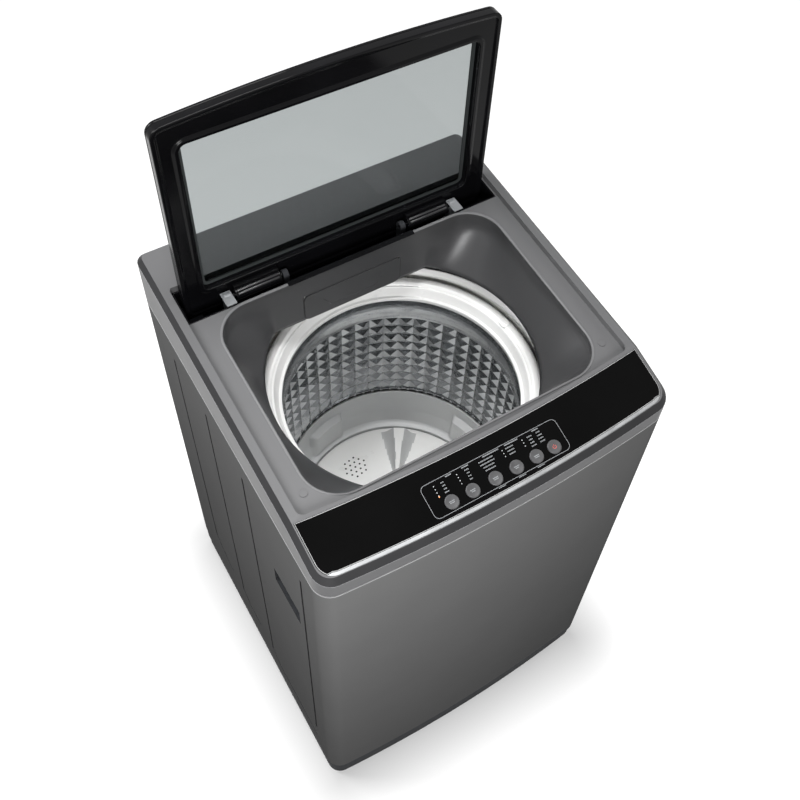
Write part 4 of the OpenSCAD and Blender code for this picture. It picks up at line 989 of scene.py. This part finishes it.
def printed_row(shape, x, up, pitch, width, heights, level=0.0):
    """A row of strokes, one for each height, that stands for a word with its middle at x."""
    for letter, height in enumerate(heights):
        printed_bar(shape, x + (letter - (len(heights) - 1) / 2) * pitch, up, width, height, level)


def printed_dot(shape, x, up, radius):
    """A printed round dot on the panel, its lengths in millimetres."""
    at = on_panel @ Matrix.Translation((x / 1000, up / 1000, PRINT_T))
    bmesh.ops.create_circle(shape, cap_ends=True, radius=radius / 1000, segments=16, matrix=at)


# The outline is a rounded rectangle in a fine line
OUTLINE_W = 0.0005
outline = rounded_plate(0.1985, 0.0438, 0.007, PRINT_T)
bmesh.ops.delete(outline, geom=[f for f in outline.faces if f.normal.z < 0.9], context="FACES")
keep_border(outline, outline.faces[:], OUTLINE_W)
put(outline, outline.verts, (-0.0015, 0.0107, 0))
bmesh.ops.transform(outline, verts=outline.verts, matrix=on_panel)
finish_piece(outline, "panel_outline", printed_ink, "root", smooth=0)

# Short strokes stand for the legends: a heading over each group, and four rows beside its lamps
ROWS_UP = [26.0, 21.8, 17.6, 13.4]
# Where each stands, and how many strokes it has
LEGENDS = [(-72, (3, 3, 3, 4)), (-37, (4, 3, 3, 3)), (26, (8, 7, 6, 0)), (56, (5, 4, 4, 5)),
           (69, (4, 5, 5, 5)), (-9, (14, 14, 11, 10))]
HEADINGS = [(-61, 6), (-37, 7), (0.5, 17), (31, 14), (67, 7)]
LAMPS = [(-83.7, 4), (-50.9, 4), (15.5, 3), (45.3, 3)]
marks = bmesh.new()
for x, counts in LEGENDS:
    for up, count in zip(ROWS_UP, counts):
        tall = [1.5 if (letter + int(up)) % 3 else 1.1 for letter in range(count)]
        printed_row(marks, x, up, 1.5, 0.85, tall)
for x, count in HEADINGS:
    printed_row(marks, x, 30.2, 1.4, 0.9, [1.3 + 0.3 * (letter % 2) for letter in range(count)])
for x in (-8, 22, 50):
    printed_row(marks, x, -12.6, 1.5, 0.8, [1.2] * 7)
finish_piece(marks, "panel_legends", printed_ink, "root", smooth=0)

lamps = bmesh.new()
for x, count in LAMPS:
    for up in ROWS_UP[:count]:
        printed_dot(lamps, x, up, 0.6)
# Frosted lenses: a dull pale grey while they are unlit
lamp_lens = surface("diffused_lamp_lens", 1, "#989A9C", "#ACAEB0", 0.4)
finish_piece(lamps, "panel_lamps", lamp_lens, "root", smooth=0)
lit = bmesh.new()
printed_dot(lit, LAMPS[0][0], ROWS_UP[3] - 1.2, 0.9)
# One lamp is lit: its glow is painted on as a dull amber colour, and it gives no light
amber = surface("painted_glow_lamp_lens", 1, "#BE7640", "#D48E58", 0.4)
finish_piece(lit, "panel_lamp_lit", amber, "root", smooth=0)

# Caps: ABS sprayed in metallic grey, slightly dished, with a rounded edge. The last has a red mark
cap_paint = surface(
    "metallic_grey_abs", 10, "#383839", "#404041", (0.34, 0.44), grain=(0.5, 0.01), specular=0.25,
    Metallic=0.1)
red_ink = surface("red_ink", 1.5, "#963A32", "#AA463E", 0.5)
CAP_H, DISH_H = 1.5, 1.08
cap_r = half_width(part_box("button_1"))
for number, (name, place) in enumerate(zip(keys, key_places), start=1):
    body = "key_%d" % number
    dish = [(0.001, CAP_H - 0.45), (cap_r * 0.4, CAP_H - 0.4), (cap_r * 0.75, CAP_H - 0.2)]
    dish += arc((cap_r - 0.9, CAP_H - 0.9), 0.9, 95, 0, 5)
    dish += [(cap_r, -2.4), (cap_r - 1.4, -2.4), (cap_r - 1.4, -1.0), (0.001, -1.0)]
    cap = turned(dish, Vector((0, 0, 0)), 72, closed=False)
    bmesh.ops.transform(cap, verts=cap.verts, matrix=Matrix.Translation((place.x, 0, 0)) @ on_panel)
    finish_piece(cap, name + "_cap", cap_paint, body, [name], smooth=40)
    sign = bmesh.new()
    dished = DISH_H / 1000
    if number < len(keys):
        for row, letters in ((0.9, 6), (-1.2, 4 + number % 2)):
            printed_row(sign, place.x * 1000, row, 1.3, 0.8, [1.2] * letters, dished)
    else:
        bmesh.ops.create_circle(sign, radius=0.0026, segments=32)
        bmesh.ops.delete(sign, geom=[v for v in sign.verts if v.co.y > 0.0021], context="VERTS")
        grown = bmesh.ops.extrude_edge_only(sign, edges=sign.edges[:])["geom"]
        inner = [item for item in grown if isinstance(item, bmesh.types.BMVert)]
        bmesh.ops.scale(sign, vec=(0.74, 0.74, 1), verts=inner)
        put(sign, sign.verts, (place.x, 0, dished + PRINT_T))
        bmesh.ops.transform(sign, verts=sign.verts, matrix=on_panel)
        printed_bar(sign, place.x * 1000, 1.9, 0.65, 2.6, dished)
    ink = printed_ink if number < len(keys) else red_ink
    finish_piece(sign, name + "_sign", ink, body, smooth=0)
